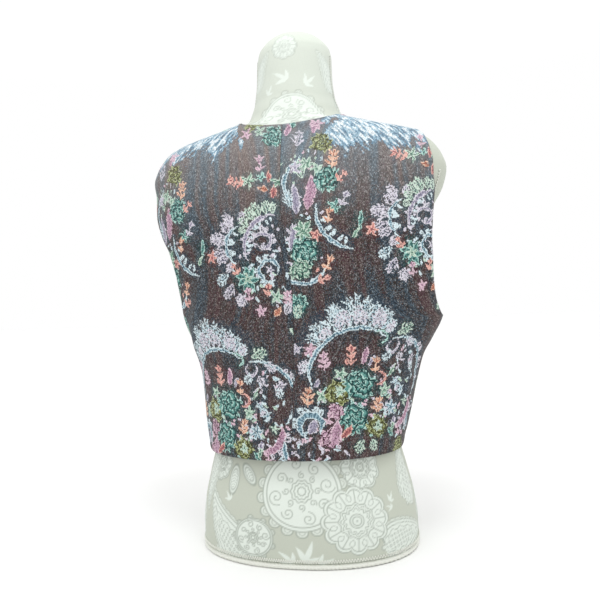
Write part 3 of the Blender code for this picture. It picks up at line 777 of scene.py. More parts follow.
def weave_repeat():
    """Draws the grounds of all the bouquets' motifs and then the motifs, so that no ground hides one."""
    repeat = Repeat()
    for bouquet, left, low in BOUQUETS:
        for motif in bouquet:
            shade_motif(repeat, motif, left + motif.x, low + motif.y)
    for bouquet, left, low in BOUQUETS:
        for motif in bouquet:
            draw = getattr(repeat, "stroke" if isinstance(motif, Scroll) else type(motif).__name__.lower())
            draw(left + motif.x, low + motif.y, *motif[2:])
    return repeat


def shade_motif(repeat, motif, x, y):
    if isinstance(motif, (Rose, Star)):
        repeat.shade(x, y, motif.radius * 1.45, motif.family)
    elif isinstance(motif, (Leaf, Frond, Sprig)):
        size = motif.size if isinstance(motif, Sprig) else motif.length
        turn = math.radians(motif.degrees)
        middle_x, middle_y = x + size / 2 * math.cos(turn), y + size / 2 * math.sin(turn)
        repeat.shade(middle_x, middle_y, size * 0.6, motif.family, 0.5)
    elif isinstance(motif, (Scroll, Crest)):
        reach = abs(motif.length) * 0.75 if isinstance(motif, Crest) else 6.0
        for part in np.linspace(0.05, 0.95, 11):
            turn = math.radians(motif.start + motif.sweep * part)
            radius = motif.radius * math.exp(-motif.curl * math.radians(abs(motif.sweep) * part))
            if isinstance(motif, Crest):
                radius += motif.length * 0.45
            place_x, place_y = x + radius * math.cos(turn), y + radius * math.sin(turn)
            repeat.shade(place_x, place_y, reach, motif.family, 0.5)


def linear(colour):
    """An sRGB hex colour as linear red, green and blue."""
    parts = [int(colour[i : i + 2], 16) / 255 for i in (1, 3, 5)]
    return [p / 12.92 if p <= 0.04045 else ((p + 0.055) / 1.055) ** 2.4 for p in parts]


PALETTE = np.array([linear(colour) for _, colour in YARNS])

# Painted highlight: strokes of pale blue painted where light from above gleams on the cloth's shoulders:
# their size in millimetres, their slant, and the share of the strokes that each tone and the lighter ones
# after it take
HIGHLIGHT_STROKE_WIDTH, HIGHLIGHT_STROKE_LENGTH = 2.1, 8
HIGHLIGHT_STROKE_LEAN = 0.7
HIGHLIGHT_STROKE_KNOTS = 128
PAINTED_HIGHLIGHT_TONES = [(0.86, "sky dark"), (0.64, "sky"), (0.43, "sky light")]

# How unevenly the floats lie, in millimetres, the shares of the figure and of its own ground that show, and
# how much more light thread is laid as painted sheen where the ground is painted palest, towards the top
FLOAT_JITTER = 0.7
FIGURE_SHOWS = 0.93
HALO_SHOWS = 0.82
PAINTED_SHEEN_THREADS = 0.46


def slanted_noise(over, along, seed):
    """Noise in short strokes, at places in millimetres over and along the strokes."""
    table = np.random.default_rng(seed).random((HIGHLIGHT_STROKE_KNOTS, HIGHLIGHT_STROKE_KNOTS))
    over, along = over / HIGHLIGHT_STROKE_WIDTH % (HIGHLIGHT_STROKE_KNOTS - 1), along / HIGHLIGHT_STROKE_LENGTH % (HIGHLIGHT_STROKE_KNOTS - 1)
    i, j = over.astype(int), along.astype(int)
    a, b = over - i, along - j
    low = table[i, j] * (1 - a) + table[i + 1, j] * a
    high = table[i, j + 1] * (1 - a) + table[i + 1, j + 1] * a
    return low * (1 - b) + high * b


def woven_colours(repeat, across, up, pale, painted_highlight, lean, seed):
    """The colour and the lift of each float of a stretch of cloth, at places on it in millimetres. The ground
    is painted paler towards the top with more light thread, a painted sheen. Slanted strokes of pale blue are
    a painted highlight where light gleams on it."""
    rng = np.random.default_rng(seed)
    shape = across.shape
    jitter = (rng.random((2, *shape)) - 0.5) * FLOAT_JITTER
    rows = np.round((up + jitter[0]) * POINTS_PER_MM).astype(int) % repeat.figure.shape[0]
    columns = np.round((across + jitter[1]) * POINTS_PER_MM).astype(int) % repeat.figure.shape[1]
    figure, halo = repeat.figure[rows, columns], repeat.ground[rows, columns]
    streak = soft_noise(shape, (60, 5), seed + 1) * 0.55 + soft_noise(shape, (90, 26), seed + 2) * 0.45
    tint = np.where(streak + (rng.random(shape) - 0.5) * 0.8 > 0.5, TONE["umber"], TONE["soot"])
    tint = np.where(streak + (rng.random(shape) - 0.5) * 0.7 > 0.74, TONE["wine ground"], tint)
    tint = np.where(streak - (rng.random(shape) - 0.5) * 0.7 < 0.24, TONE["slate ground"], tint)
    ground = np.where((halo != NO_FIGURE) & (rng.random(shape) < HALO_SHOWS), halo, tint)
    # Painted highlight: slanted strokes of pale blue laid over the ground where light from above gleams on
    # the cloth
    stroke = slanted_noise(across + lean * up, up - lean * across, seed + 3) * 0.8 + rng.random(shape) * 0.2
    for reach, tone in PAINTED_HIGHLIGHT_TONES:
        ground = np.where(stroke > 1 - reach * painted_highlight, TONE[tone], ground)
    shows = (figure != NO_FIGURE) & (rng.random(shape) < FIGURE_SHOWS)
    colour = PALETTE[np.where(shows, figure, ground)]
    speck = np.repeat(rng.random((shape[0] // 2 + 1, shape[1])), 2, axis=0)[: shape[0]] * 0.3
    speck += rng.random(shape) * 0.7
    # The specks of light thread are the cloth's own; the share added with pale is painted sheen, paler
    # towards the top
    share = np.interp(speck, [0.0, 0.5, 0.78, 1.0], [0.0, 0.02, 0.34, 0.9]) + pale * PAINTED_SHEEN_THREADS
    floats_and_highlight = shows | (stroke > 1 - PAINTED_HIGHLIGHT_TONES[0][0] * painted_highlight)
    share = np.where(floats_and_highlight, 0.10 * pale, np.clip(share, 0, 0.9))[..., None]
    warm = np.clip((streak - 0.5) * 1.8 + 0.5, 0, 1)[..., None]
    thread = np.array(linear(WARM_THREAD)) * warm + np.array(linear(COOL_THREAD)) * (1 - warm)
    colour = colour * (1 - share) + thread * share
    colour *= np.where(shows, 0.84 + 0.32 * rng.random(shape), 0.65 + 0.6 * rng.random(shape))[..., None]
    return np.clip(colour, 0, 1), shows * 1.0


# How many times coarser the inside is than the outside, and which of a panel's two materials it has
FINE = 4
INSIDE = 1

# Up from the hem, where the painted sheen starts to make the ground paler and where the pale blue strokes of
# the painted highlight lie over it
PAINTED_SHEEN_FROM, PAINTED_SHEEN_TO = 250 * MM, 390 * MM
PAINTED_HIGHLIGHT_FROM, PAINTED_HIGHLIGHT_TO = 348 * MM, 386 * MM
PAINTED_HIGHLIGHT_WAVE = 34 * MM
FRONT_PAINTED_HIGHLIGHT_STARTS = 45 * MM

# Out from the centre edge, where the strokes of painted highlight start and where they are full
PAINTED_HIGHLIGHT_CLEAR, PAINTED_HIGHLIGHT_FULL = 0.040, 0.070

Stretch = namedtuple("Stretch", "columns side_rows armhole_rows shoulder_rows across up towards_right seed")

# How finely each panel is built, and where on the cloth its centre edge and hem are cut
STRETCHES = {
    "back_left": Stretch(200, 160, 156, 108, 0.0, 0.0, False, 11),
    "back_right": Stretch(200, 160, 156, 108, 6.0, -24.0, True, 12),
    "front_left": Stretch(160, 124, 120, 84, 118.0, 10.0, True, 13),
    "front_right": Stretch(160, 124, 120, 84, 112.0, -6.0, False, 14),
}

# How much cloth the shaped centre seam takes in, and the heights over the hem between which it stops
SEAM_TAKES = 15 * MM
SEAM_TAKES_TO, SEAM_TAKES_END = 0.09, 0.20

# The drawn outside and inside lie this share of the cloth's thickness apart
SHELL = 0.8

# Where a panel's outside, inside and cut edge lie in its own bake chart: their size and their corner
FACE_CHART = ((0.98, 0.90), (0.01, 0.01))
BACK_CHART = ((0.98, 0.05), (0.01, 0.92))
RIM_CHART = ((0.98, 0.01), (0.01, 0.98))

# The flat cut of each panel, in metres and square metres
Cut = namedtuple("Cut", "flat area")

SEAM_DIP = 0.5 * MM
SEAM_DIP_WIDTH = 2.0 * MM
PUCKER_PITCH = 7.0 * MM
EDGE_ROLL = 0.8 * MM
EDGE_ROLL_WIDTH = 1.6 * MM
TURNING_WIDTH = 9.0 * MM
TURNING_RISE = 0.35 * MM
FLOAT_LIFT = 0.22 * MM


def running_lengths(points, axis):
    """How far along its row or column each point of a grid lies."""
    steps = np.linalg.norm(np.diff(points, axis=axis), axis=-1)
    start = np.zeros_like(np.take(steps, [0], axis=axis))
    return np.concatenate([start, np.cumsum(steps, axis=axis)], axis=axis)


def cloth_places(surface, level_rows):
    """How far across and how far up the cloth each point lies. Across follows the weft: level on the body,
    and over the shoulder as on the highest level row. Up is square to it."""
    rise, run = np.gradient(surface, axis=0), np.gradient(surface, axis=1)
    weft = run.copy()
    weft[level_rows:] = run[level_rows - 1]
    facing = np.cross(run, rise)
    facing /= np.linalg.norm(facing, axis=2, keepdims=True)
    weft -= facing * (weft * facing).sum(axis=2, keepdims=True)
    weft /= np.linalg.norm(weft, axis=2, keepdims=True)
    step = np.diff(surface, axis=0)
    aside = (step * weft[:-1]).sum(axis=2)
    edge = np.concatenate([[0], np.cumsum(aside[:, 0])])
    along = (np.diff(surface, axis=1) * weft[:, :-1]).sum(axis=2)
    across = edge[:, None] + np.hstack([np.zeros((len(edge), 1)), np.cumsum(along, axis=1)])
    size = np.linalg.norm(step - weft[:-1] * aside[..., None], axis=2)
    size[:level_rows] = size[:level_rows].mean(axis=1, keepdims=True)
    return across, np.vstack([np.zeros((1, surface.shape[1])), np.cumsum(size, axis=0)])


def seam_dip(distance, along):
    pucker = 1 + 0.35 * np.sin(along * 2 * math.pi / PUCKER_PITCH)
    return -SEAM_DIP * pucker * np.exp(-((distance / SEAM_DIP_WIDTH) ** 2))


def edge_roll(distance):
    """A turned edge: the turning's thickness shows a little, and the edge itself rounds away."""
    turning = TURNING_RISE * (1 - smooth_step(distance, TURNING_WIDTH - 2 * MM, TURNING_WIDTH))
    return turning - EDGE_ROLL * np.exp(-((distance / EDGE_ROLL_WIDTH) ** 2))


def vest_panel(name, repeat, cloth, lining_side):
    """One cut panel as a closed shell: fine outside, four times coarser inside."""
    is_front, is_left = name.startswith("front"), name.endswith("left")
    stretch = STRETCHES[name]
    levels = vest_levels()
    size = (stretch.columns, stretch.side_rows, stretch.armhole_rows, stretch.shoulder_rows)
    grid = panel_grid(levels, is_front, is_left, *size)
    rows, columns = grid.shape[:2]
    points = grid.reshape(-1, 3)
    normals = outward(levels, points)
    from_centre = points[:, 0].copy()
    side = 1 if is_left else -1
    points[:, 0] = points[:, 0] * side + read_levels(SWAY_LEVELS, points[:, 2])[0]
    normals[:, 0] *= side
    rise = fold_rise(points)
    if is_front and not is_left:
        rise += (CLOTH + LAP_GAP) * smooth_step(from_centre, LAP_RISE_START, LAP_RISE_END)
    surface = (points + normals * rise[:, None]).reshape(grid.shape)

    across, up = cloth_places(surface, stretch.side_rows + stretch.armhole_rows)
    taken_in = SEAM_TAKES * (1 - smooth_step(up, SEAM_TAKES_TO, SEAM_TAKES_END))
    along = (across + taken_in) / MM * (1 if stretch.towards_right else -1) + stretch.across
    places = (along, up / MM + stretch.up)
    centres = [(a[:-1, :-1] + a[1:, :-1] + a[:-1, 1:] + a[1:, 1:]) / 4 for a in places]
    # Painted sheen: the ground is painted paler towards the top, as light from above falls on it
    pale = smooth_step(up, PAINTED_SHEEN_FROM, PAINTED_SHEEN_TO)
    # Painted highlight: a wavy band of pale blue strokes over the shoulders, where light from above gleams on
    # the cloth
    highlight_wave = (soft_noise(up.shape, (18, 14), stretch.seed + 9) - 0.5) * PAINTED_HIGHLIGHT_WAVE
    painted_highlight = smooth_step(up + highlight_wave - FRONT_PAINTED_HIGHLIGHT_STARTS * is_front, PAINTED_HIGHLIGHT_FROM, PAINTED_HIGHLIGHT_TO)
    painted_highlight *= smooth_step(across + highlight_wave, PAINTED_HIGHLIGHT_CLEAR, PAINTED_HIGHLIGHT_FULL)
    lean = HIGHLIGHT_STROKE_LEAN if stretch.towards_right else -HIGHLIGHT_STROKE_LEAN
    colour, shows = woven_colours(repeat, *centres, pale[1:, 1:], painted_highlight[1:, 1:], lean, stretch.seed)

    relief = panel_edges(is_front, surface, stretch)
    lift = np.zeros((rows, columns))
    for row_shift in (0, 1):
        for column_shift in (0, 1):
            beside = np.s_[row_shift : rows - 1 + row_shift, column_shift : columns - 1 + column_shift]
            lift[beside] += shows / 4
    relief += lift * FLOAT_LIFT
    outside = surface + normals.reshape(grid.shape) * relief[..., None]
    inside = (surface - normals.reshape(grid.shape) * (CLOTH * SHELL))[::FINE, ::FINE]
    return panel_mesh(name, outside, inside, colour, across, up, cloth, lining_side, stretch.seed)


def panel_edges(is_front, surface, stretch):
    """Dips along the seams, and the roll of the turned edges, over a whole panel."""
    across, climb = running_lengths(surface, 1), running_lengths(surface, 0)
    to_side, to_top = across[:, -1:] - across, climb[-1:] - climb
    relief = edge_roll(climb)
    is_seam_row = np.arange(surface.shape[0]) <= stretch.side_rows
    relief += np.where(is_seam_row[:, None], seam_dip(to_side, climb), edge_roll(to_side))
    if is_front:
        relief += edge_roll(across)
        relief += seam_dip(to_top, across)
    else:
        relief += seam_dip(across, climb)
        part = np.linspace(0, 1, surface.shape[1])[None, :]
        relief += np.where(part < NECK_SHARE, edge_roll(to_top), seam_dip(to_top, across))
    return relief


def panel_mesh(name, outside, inside, colour, across, up, cloth, lining_side, seed):
    """Joins the fine outside, the coarse inside and the cut edge between them in one closed mesh."""
    rows, columns = outside.shape[:2]
    low_rows, low_columns = inside.shape[:2]
    count = rows * columns
    faces = grid_faces(rows, columns)
    back = [face[::-1] for face in grid_faces(low_rows, low_columns, first=count)]
    rim = []

    def edge(fine, coarse):
        rim.append((*reversed(fine), *coarse))

    for c in range(low_columns - 1):
        near = [c * FINE + k for k in range(FINE + 1)]
        edge(near, [count + c, count + c + 1])
        top = (rows - 1) * columns
        low_top = count + (low_rows - 1) * low_columns
        edge([top + n for n in reversed(near)], [low_top + c + 1, low_top + c])
    for r in range(low_rows - 1):
        steps = [(r * FINE + k) * columns for k in range(FINE + 1)]
        left = [count + r * low_columns, count + (r + 1) * low_columns]
        edge(steps[::-1], left[::-1])
        edge([s + columns - 1 for s in steps], [corner + low_columns - 1 for corner in left])
    points = np.concatenate([outside.reshape(-1, 3), inside.reshape(-1, 3)])
    mesh = bpy.data.meshes.new(name)
    mesh.from_pydata(points, [], faces + back + rim)
    mesh.update()

    rng = np.random.default_rng(seed + 50)
    reverse = PALETTE[rng.choice([TONE["soot"], TONE["umber"], TONE["slate ground"]], len(back))]
    reverse *= (0.8 + 0.4 * rng.random(len(back)))[:, None]
    edge_colour = np.tile(PALETTE[TONE["soot"]], (len(rim), 1))
    face_colours = np.concatenate([colour.reshape(-1, 3), reverse, edge_colour])
    totals = np.array([4] * (len(faces) + len(back)) + [len(f) for f in rim])
    corner = np.repeat(face_colours, totals, axis=0)
    attribute = mesh.color_attributes.new("yarn", "FLOAT_COLOR", "CORNER")
    opaque = np.ones((len(corner), 1))
    attribute.data.foreach_set("color", np.concatenate([corner, opaque], axis=1).ravel())

    flat_across = np.concatenate([across.ravel(), across[::FINE, ::FINE].ravel()])
    flat_up = np.concatenate([up.ravel(), up[::FINE, ::FINE].ravel()])
    corner_vertex = np.empty(len(mesh.loops), np.int32)
    mesh.loops.foreach_get("vertex_index", corner_vertex)
    metres = np.stack([flat_across, flat_up], axis=1)[corner_vertex]
    mesh.uv_layers.new(name="cloth").data.foreach_set("uv", metres.ravel())
    whole = metres / metres.max(axis=0)
    starts = np.concatenate([[0], np.cumsum(totals)])
    chart = whole * FACE_CHART[0] + FACE_CHART[1]
    first_back, first_rim = starts[len(faces)], starts[len(faces) + len(back)]
    chart[first_back:first_rim] = whole[first_back:first_rim] * BACK_CHART[0] + BACK_CHART[1]
    chart[first_rim:] = whole[first_rim:] * RIM_CHART[0] + RIM_CHART[1]
    mesh.uv_layers.new(name="OFBake").data.foreach_set("uv", chart.ravel())
    mesh.shade_smooth()
    panel = bpy.data.objects.new(name + "_jacquard", mesh)
    bpy.context.collection.objects.link(panel)
    mesh.materials.append(cloth)
    mesh.materials.append(lining_side)
    side = np.zeros(len(totals), np.int32)
    side[len(faces) : len(faces) + len(back)] = INSIDE
    mesh.polygons.foreach_set("material_index", side)
    return panel


def grid_faces(rows, columns, first=0, closed=False):
    """Quads between neighbouring rows of points. A closed grid's last column meets its first."""
    row = np.arange(rows - 1)[:, None] * columns + first
    column = np.arange(columns if closed else columns - 1)[None, :]
    beside = (column + 1) % columns
    corners = [row + column, row + beside, row + columns + beside, row + columns + column]
    return np.stack(corners, axis=-1).reshape(-1, 4).tolist()


def close_round(rows, columns):
    """Quads that join the last row of a closed grid to its first."""
    last = (rows - 1) * columns
    return [(last + k, last + (k + 1) % columns, (k + 1) % columns, k) for k in range(columns)]


def add(tree, kind, settings=None, links=None, values=None):
    """Adds a node to a tree, with its settings, what feeds its sockets and its sockets' own values."""
    made = tree.nodes.new(kind)
    for key, value in (settings or {}).items():
        setattr(made, key, value)
    for socket, value in (values or {}).items():
        made.inputs[socket].default_value = value
    for socket, source in (links or {}).items():
        tree.links.new(made.inputs[socket], source)
    return made


def finish(name, values):
    """A material with one Principled shader, set up with its own sockets' values."""
    material = bpy.data.materials.new(name)
    material.use_nodes = True
    tree = material.node_tree
    shader = tree.nodes["Principled BSDF"]
    for socket, value in values.items():
        shader.inputs[socket].default_value = value
    return material, tree, shader


# Threads lie at 0.6 mm. They are drawn in pairs, because single ones are lost on a whole garment. A wave of
# the texture is pi / 10 long at a scale of 1.
THREAD_PITCH = 1.2 * MM
THREAD_SCALE = math.pi / 10 / THREAD_PITCH


def jacquard_face():
    """Polyester and cotton jacquard, woven with long coloured floats. The rise of each thread is painted
    lighter and the gaps between threads painted darker, a painted highlight and painted shade over the
    threads' bump."""
    material, tree, shader = finish(
        "woven_jacquard",
        {"Roughness": 0.7, "Sheen Weight": 0.06, "Sheen Roughness": 0.5, "Specular IOR Level": 0.2},
    )
    yarn = add(tree, "ShaderNodeVertexColor", {"layer_name": "yarn"})
    place = add(tree, "ShaderNodeUVMap", {"uv_map": "cloth"})
    warp, weft = (
        add(
            tree, "ShaderNodeTexWave", {"bands_direction": direction}, {"Vector": place.outputs[0]},
            {"Scale": THREAD_SCALE, "Distortion": 0.4, "Detail": 1.0, "Detail Scale": 2.0},
        )
        for direction in ("X", "Y")
    )
    threads = add(
        tree, "ShaderNodeMath", {"operation": "MULTIPLY"}, {0: warp.outputs["Fac"], 1: weft.outputs["Fac"]}
    )
    # Painted highlight and shade: the colour is raised on each thread's crest and lowered in the gaps between
    # threads
    shade = add(
        tree, "ShaderNodeMapRange", {}, {"Value": threads.outputs[0]},
        {"From Min": 0.0, "From Max": 1.0, "To Min": 0.72, "To Max": 1.12},
    )
    colour = add(
        tree, "ShaderNodeVectorMath", {"operation": "SCALE"},
        {0: yarn.outputs["Color"], "Scale": shade.outputs["Result"]},
    )
    tree.links.new(shader.inputs["Base Color"], colour.outputs[0])
    bump = add(
        tree, "ShaderNodeBump", {}, {"Height": threads.outputs[0]}, {"Strength": 0.35, "Distance": 0.0003}
    )
    tree.links.new(shader.inputs["Normal"], bump.outputs[0])
    return material


def jacquard_reverse():
    """The back of the jacquard, where the cut floats lie as soft dull streaks."""
    material, tree, shader = finish(
        "jacquard_reverse", {"Roughness": 0.9, "Sheen Weight": 0.1, "Specular IOR Level": 0.25}
    )
    yarn = add(tree, "ShaderNodeVertexColor", {"layer_name": "yarn"})
    place = add(tree, "ShaderNodeUVMap", {"uv_map": "cloth"})
    streaks = add(
        tree, "ShaderNodeTexNoise", {}, {"Vector": place.outputs[0]}, {"Scale": 420.0, "Detail": 3.0}
    )
    shade = add(
        tree, "ShaderNodeMapRange", {}, {"Value": streaks.outputs["Fac"]}, {"To Min": 0.6, "To Max": 1.3}
    )
    colour = add(
        tree, "ShaderNodeVectorMath", {"operation": "SCALE"},
        {0: yarn.outputs["Color"], "Scale": shade.outputs["Result"]},
    )
    tree.links.new(shader.inputs["Base Color"], colour.outputs[0])
    return material


def printed_cotton():
    """Cotton cover with a white print on pale grey-green: a dull plain weave, the print hardly raised."""
    material, tree, shader = finish(
        "printed_cotton", {"Roughness": 0.86, "Sheen Weight": 0.12, "Specular IOR Level": 0.3}
    )
    ink = add(tree, "ShaderNodeVertexColor", {"layer_name": "print"})
    place = add(tree, "ShaderNodeTexCoord")
    weave = add(
        tree, "ShaderNodeTexNoise", {}, {"Vector": place.outputs["Object"]}, {"Scale": 900.0, "Detail": 2.0}
    )
    shade = add(
        tree, "ShaderNodeMapRange", {}, {"Value": weave.outputs["Fac"]}, {"To Min": 0.93, "To Max": 1.05}
    )
    colour = add(
        tree, "ShaderNodeVectorMath", {"operation": "SCALE"},
        {0: ink.outputs["Color"], "Scale": shade.outputs["Result"]},
    )
    tree.links.new(shader.inputs["Base Color"], colour.outputs[0])
    bump = add(
        tree, "ShaderNodeBump", {}, {"Height": weave.outputs["Fac"]}, {"Strength": 0.15, "Distance": 0.0002}
    )
    tree.links.new(shader.inputs["Normal"], bump.outputs[0])
    return material


def cotton_thread(name, colour):
    """Cotton thread: matt, with fine fibres that break up its shade."""
    material, tree, shader = finish(
        name, {"Roughness": 0.85, "Sheen Weight": 0.15, "Specular IOR Level": 0.3}
    )
    place = add(tree, "ShaderNodeTexCoord")
    fibres = add(
        tree, "ShaderNodeTexNoise", {}, {"Vector": place.outputs["Object"]}, {"Scale": 1400.0, "Detail": 2.0}
    )
    ramp = add(tree, "ShaderNodeValToRGB", {}, {"Fac": fibres.outputs["Fac"]})
    pale = linear(colour)
    ramp.color_ramp.elements[0].color = (*[p * 0.8 for p in pale], 1)
    ramp.color_ramp.elements[1].color = (*[min(1.0, p * 1.1) for p in pale], 1)
    tree.links.new(shader.inputs["Base Color"], ramp.outputs["Color"])
    return material


def polished_casein():
    """Casein button, turned and polished: dark, with a soft gloss and a faint cloud in the colour."""
    material, tree, shader = finish("polished_button", {"Roughness": 0.28, "IOR": 1.53})
    place = add(tree, "ShaderNodeTexCoord")
    cloud = add(
        tree, "ShaderNodeTexNoise", {}, {"Vector": place.outputs["Object"]}, {"Scale": 240.0, "Detail": 4.0}
    )
    ramp = add(tree, "ShaderNodeValToRGB", {}, {"Fac": cloud.outputs["Fac"]})
    ramp.color_ramp.elements[0].color = (*linear("#1d1c20"), 1)
    ramp.color_ramp.elements[1].color = (*linear("#38353b"), 1)
    tree.links.new(shader.inputs["Base Color"], ramp.outputs["Color"])
    return material


CAMERA_AZIMUTH_DEGREES, CAMERA_ROLL_DEGREES = 192, 2.4
CAMERA_DISTANCE, CAMERA_HEIGHT = 0.85, 0.32
SENSOR_WIDTH = 36.0
PICTURE_PIXELS, FOCAL_PIXELS = 600, 654
SHIFT_X_PIXELS, SHIFT_Y_PIXELS = -1, -8


def place_camera():
    """Level with the waist, turned 12 degrees from the back, with the picture's slight roll."""
    azimuth, roll = math.radians(CAMERA_AZIMUTH_DEGREES), math.radians(CAMERA_ROLL_DEGREES)
    back = Vector((math.sin(azimuth), -math.cos(azimuth), 0.0))
    level_right = Vector((0, 0, 1)).cross(back)
    up = Vector((0, 0, 1))
    right = level_right * math.cos(roll) - up * math.sin(roll)
    top = level_right * math.sin(roll) + up * math.cos(roll)
    camera = bpy.data.cameras.new("camera")
    camera.sensor_width = SENSOR_WIDTH
    camera.lens = FOCAL_PIXELS / PICTURE_PIXELS * SENSOR_WIDTH
    camera.shift_x = SHIFT_X_PIXELS / PICTURE_PIXELS
    camera.shift_y = SHIFT_Y_PIXELS / PICTURE_PIXELS
    camera.clip_start = 0.05
    seat = bpy.data.objects.new("camera", camera)
    spot = back * CAMERA_DISTANCE + Vector((0, 0, CAMERA_HEIGHT))
    seat.matrix_world = Matrix.Translation(spot) @ Matrix((right, top, back)).transposed().to_4x4()
    bpy.context.collection.objects.link(seat)
    bpy.context.scene.camera = seat


def light(name, where, aim, size, power, colour):
    lamp = bpy.data.lights.new(name, "AREA")
    lamp.shape = "DISK"
    lamp.size = size
    lamp.energy = power
    lamp.color = colour
    seat = bpy.data.objects.new(name, lamp)
    seat.location = where
    seat.rotation_euler = (Vector(where) - Vector(aim)).to_track_quat("Z", "Y").to_euler()
    bpy.context.collection.objects.link(seat)


def studio():
    """A pale floor under a bright even sky, with a soft key from above the camera."""
    bpy.ops.mesh.primitive_plane_add(size=12, location=(0, 0, 0))
    floor = bpy.context.object
    floor.name = "floor"
    material, _, shader = finish("pale_floor", {"Roughness": 0.9, "Specular IOR Level": 0.1})
    shader.inputs["Base Color"].default_value = (*linear("#f2f2f1"), 1)
    floor.data.materials.append(material)
    world = bpy.data.worlds.new("studio")
    world.use_nodes = True
    tree = world.node_tree
    place = add(tree, "ShaderNodeTexCoord")
    height = add(tree, "ShaderNodeSeparateXYZ", {}, {"Vector": place.outputs["Generated"]})
    strength = add(
        tree, "ShaderNodeMapRange", {}, {"Value": height.outputs["Z"]},
        {"From Min": 0.3, "From Max": 0.9, "To Min": 1.0, "To Max": 1.25},
    )
    tree.nodes["Background"].inputs["Color"].default_value = (1, 1, 1, 1)
    tree.links.new(tree.nodes["Background"].inputs["Strength"], strength.outputs["Result"])
    bpy.context.scene.world = world
    light("key", (-0.14, 0.42, 1.35), (0, 0, 0.45), 0.3, 3.6, (0.97, 0.99, 1.0))
    bpy.context.scene.view_settings.view_transform = "Standard"


def dress_vest():
    repeat = weave_repeat()
    cloth, reverse = jacquard_face(), jacquard_reverse()
    for name in STRETCHES:
        panel = vest_panel(name, repeat, cloth, reverse)
        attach(panel, "root")
        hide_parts(name)


Wheel = namedtuple("Wheel", "x y radius turn")
Flower = namedtuple("Flower", "x y radius petals turn")
Paisley = namedtuple("Paisley", "x y degrees length turn_over")
Oval = namedtuple("Oval", "x y degrees length")
Spray = namedtuple("Spray", "x y degrees size")

# The printed cover, in millimetres: x to the right of the centre back as seen, y up from the base
BODY_GIRTH = 756
BODY_PRINT = [
    Paisley(-84, 34, 150, 92, 1),
    Paisley(160, 100, 60, 80, -1),
    Paisley(138, 28, 20, 84, 1),
    Wheel(-44, 34, 22, 0),
    Flower(-104, 112, 21, 8, 0),
    Flower(78, 112, 26, 9, 20),
    Oval(-76, 96, 88, 34),
    Oval(-55, 104, 130, 28),
    Paisley(-128, 88, 250, 60, -1),
    Wheel(9, 88, 44, 0),
    Flower(66, 54, 38, 12, 0),
    Spray(10, 10, 70, 26),
    Spray(24, 8, 20, 18),
    Spray(-2, 8, 140, 20),
    Spray(-78, 72, 130, 12),
    Spray(110, 70, 60, 12),
    Spray(-96, 6, 60, 14),
    Spray(112, 62, 160, 9),
    Wheel(220, 44, 40, 40),
    Flower(282, 84, 34, 12, 0),
    Paisley(226, 104, 100, 66, 1),
    Paisley(330, 36, 200, 88, -1),
    Spray(268, 22, 80, 22),
    Oval(186, 46, 100, 30),
    Wheel(-196, 58, 43, 80),
    Flower(-254, 100, 30, 10, 0),
    Paisley(-262, 36, 20, 80, 1),
    Paisley(-146, 30, 300, 60, 1),
    Spray(-212, 8, 100, 16),
    Flower(-330, 60, 38, 12, 12),
    Oval(-296, 82, 60, 30),
    Wheel(-368, 110, 30, 0),
]
NECK_GIRTH = 316
NECK_PRINT = [
    Wheel(6, 538, 30, 0),
    Spray(0, 586, 150, 24),
    Spray(22, 580, 40, 20),
    Spray(-26, 570, 70, 14),
    Paisley(-48, 604, 80, 50, 1),
    Flower(-4, 632, 18, 8, 0),
    Paisley(62, 600, 100, 54, -1),
    Flower(88, 556, 24, 10, 0),
    Wheel(-84, 560, 25, 0),
    Flower(-120, 604, 22, 9, 0),
    Wheel(128, 604, 26, 30),
    Spray(150, 560, 90, 22),
    Paisley(-146, 552, 60, 46, 1),
]


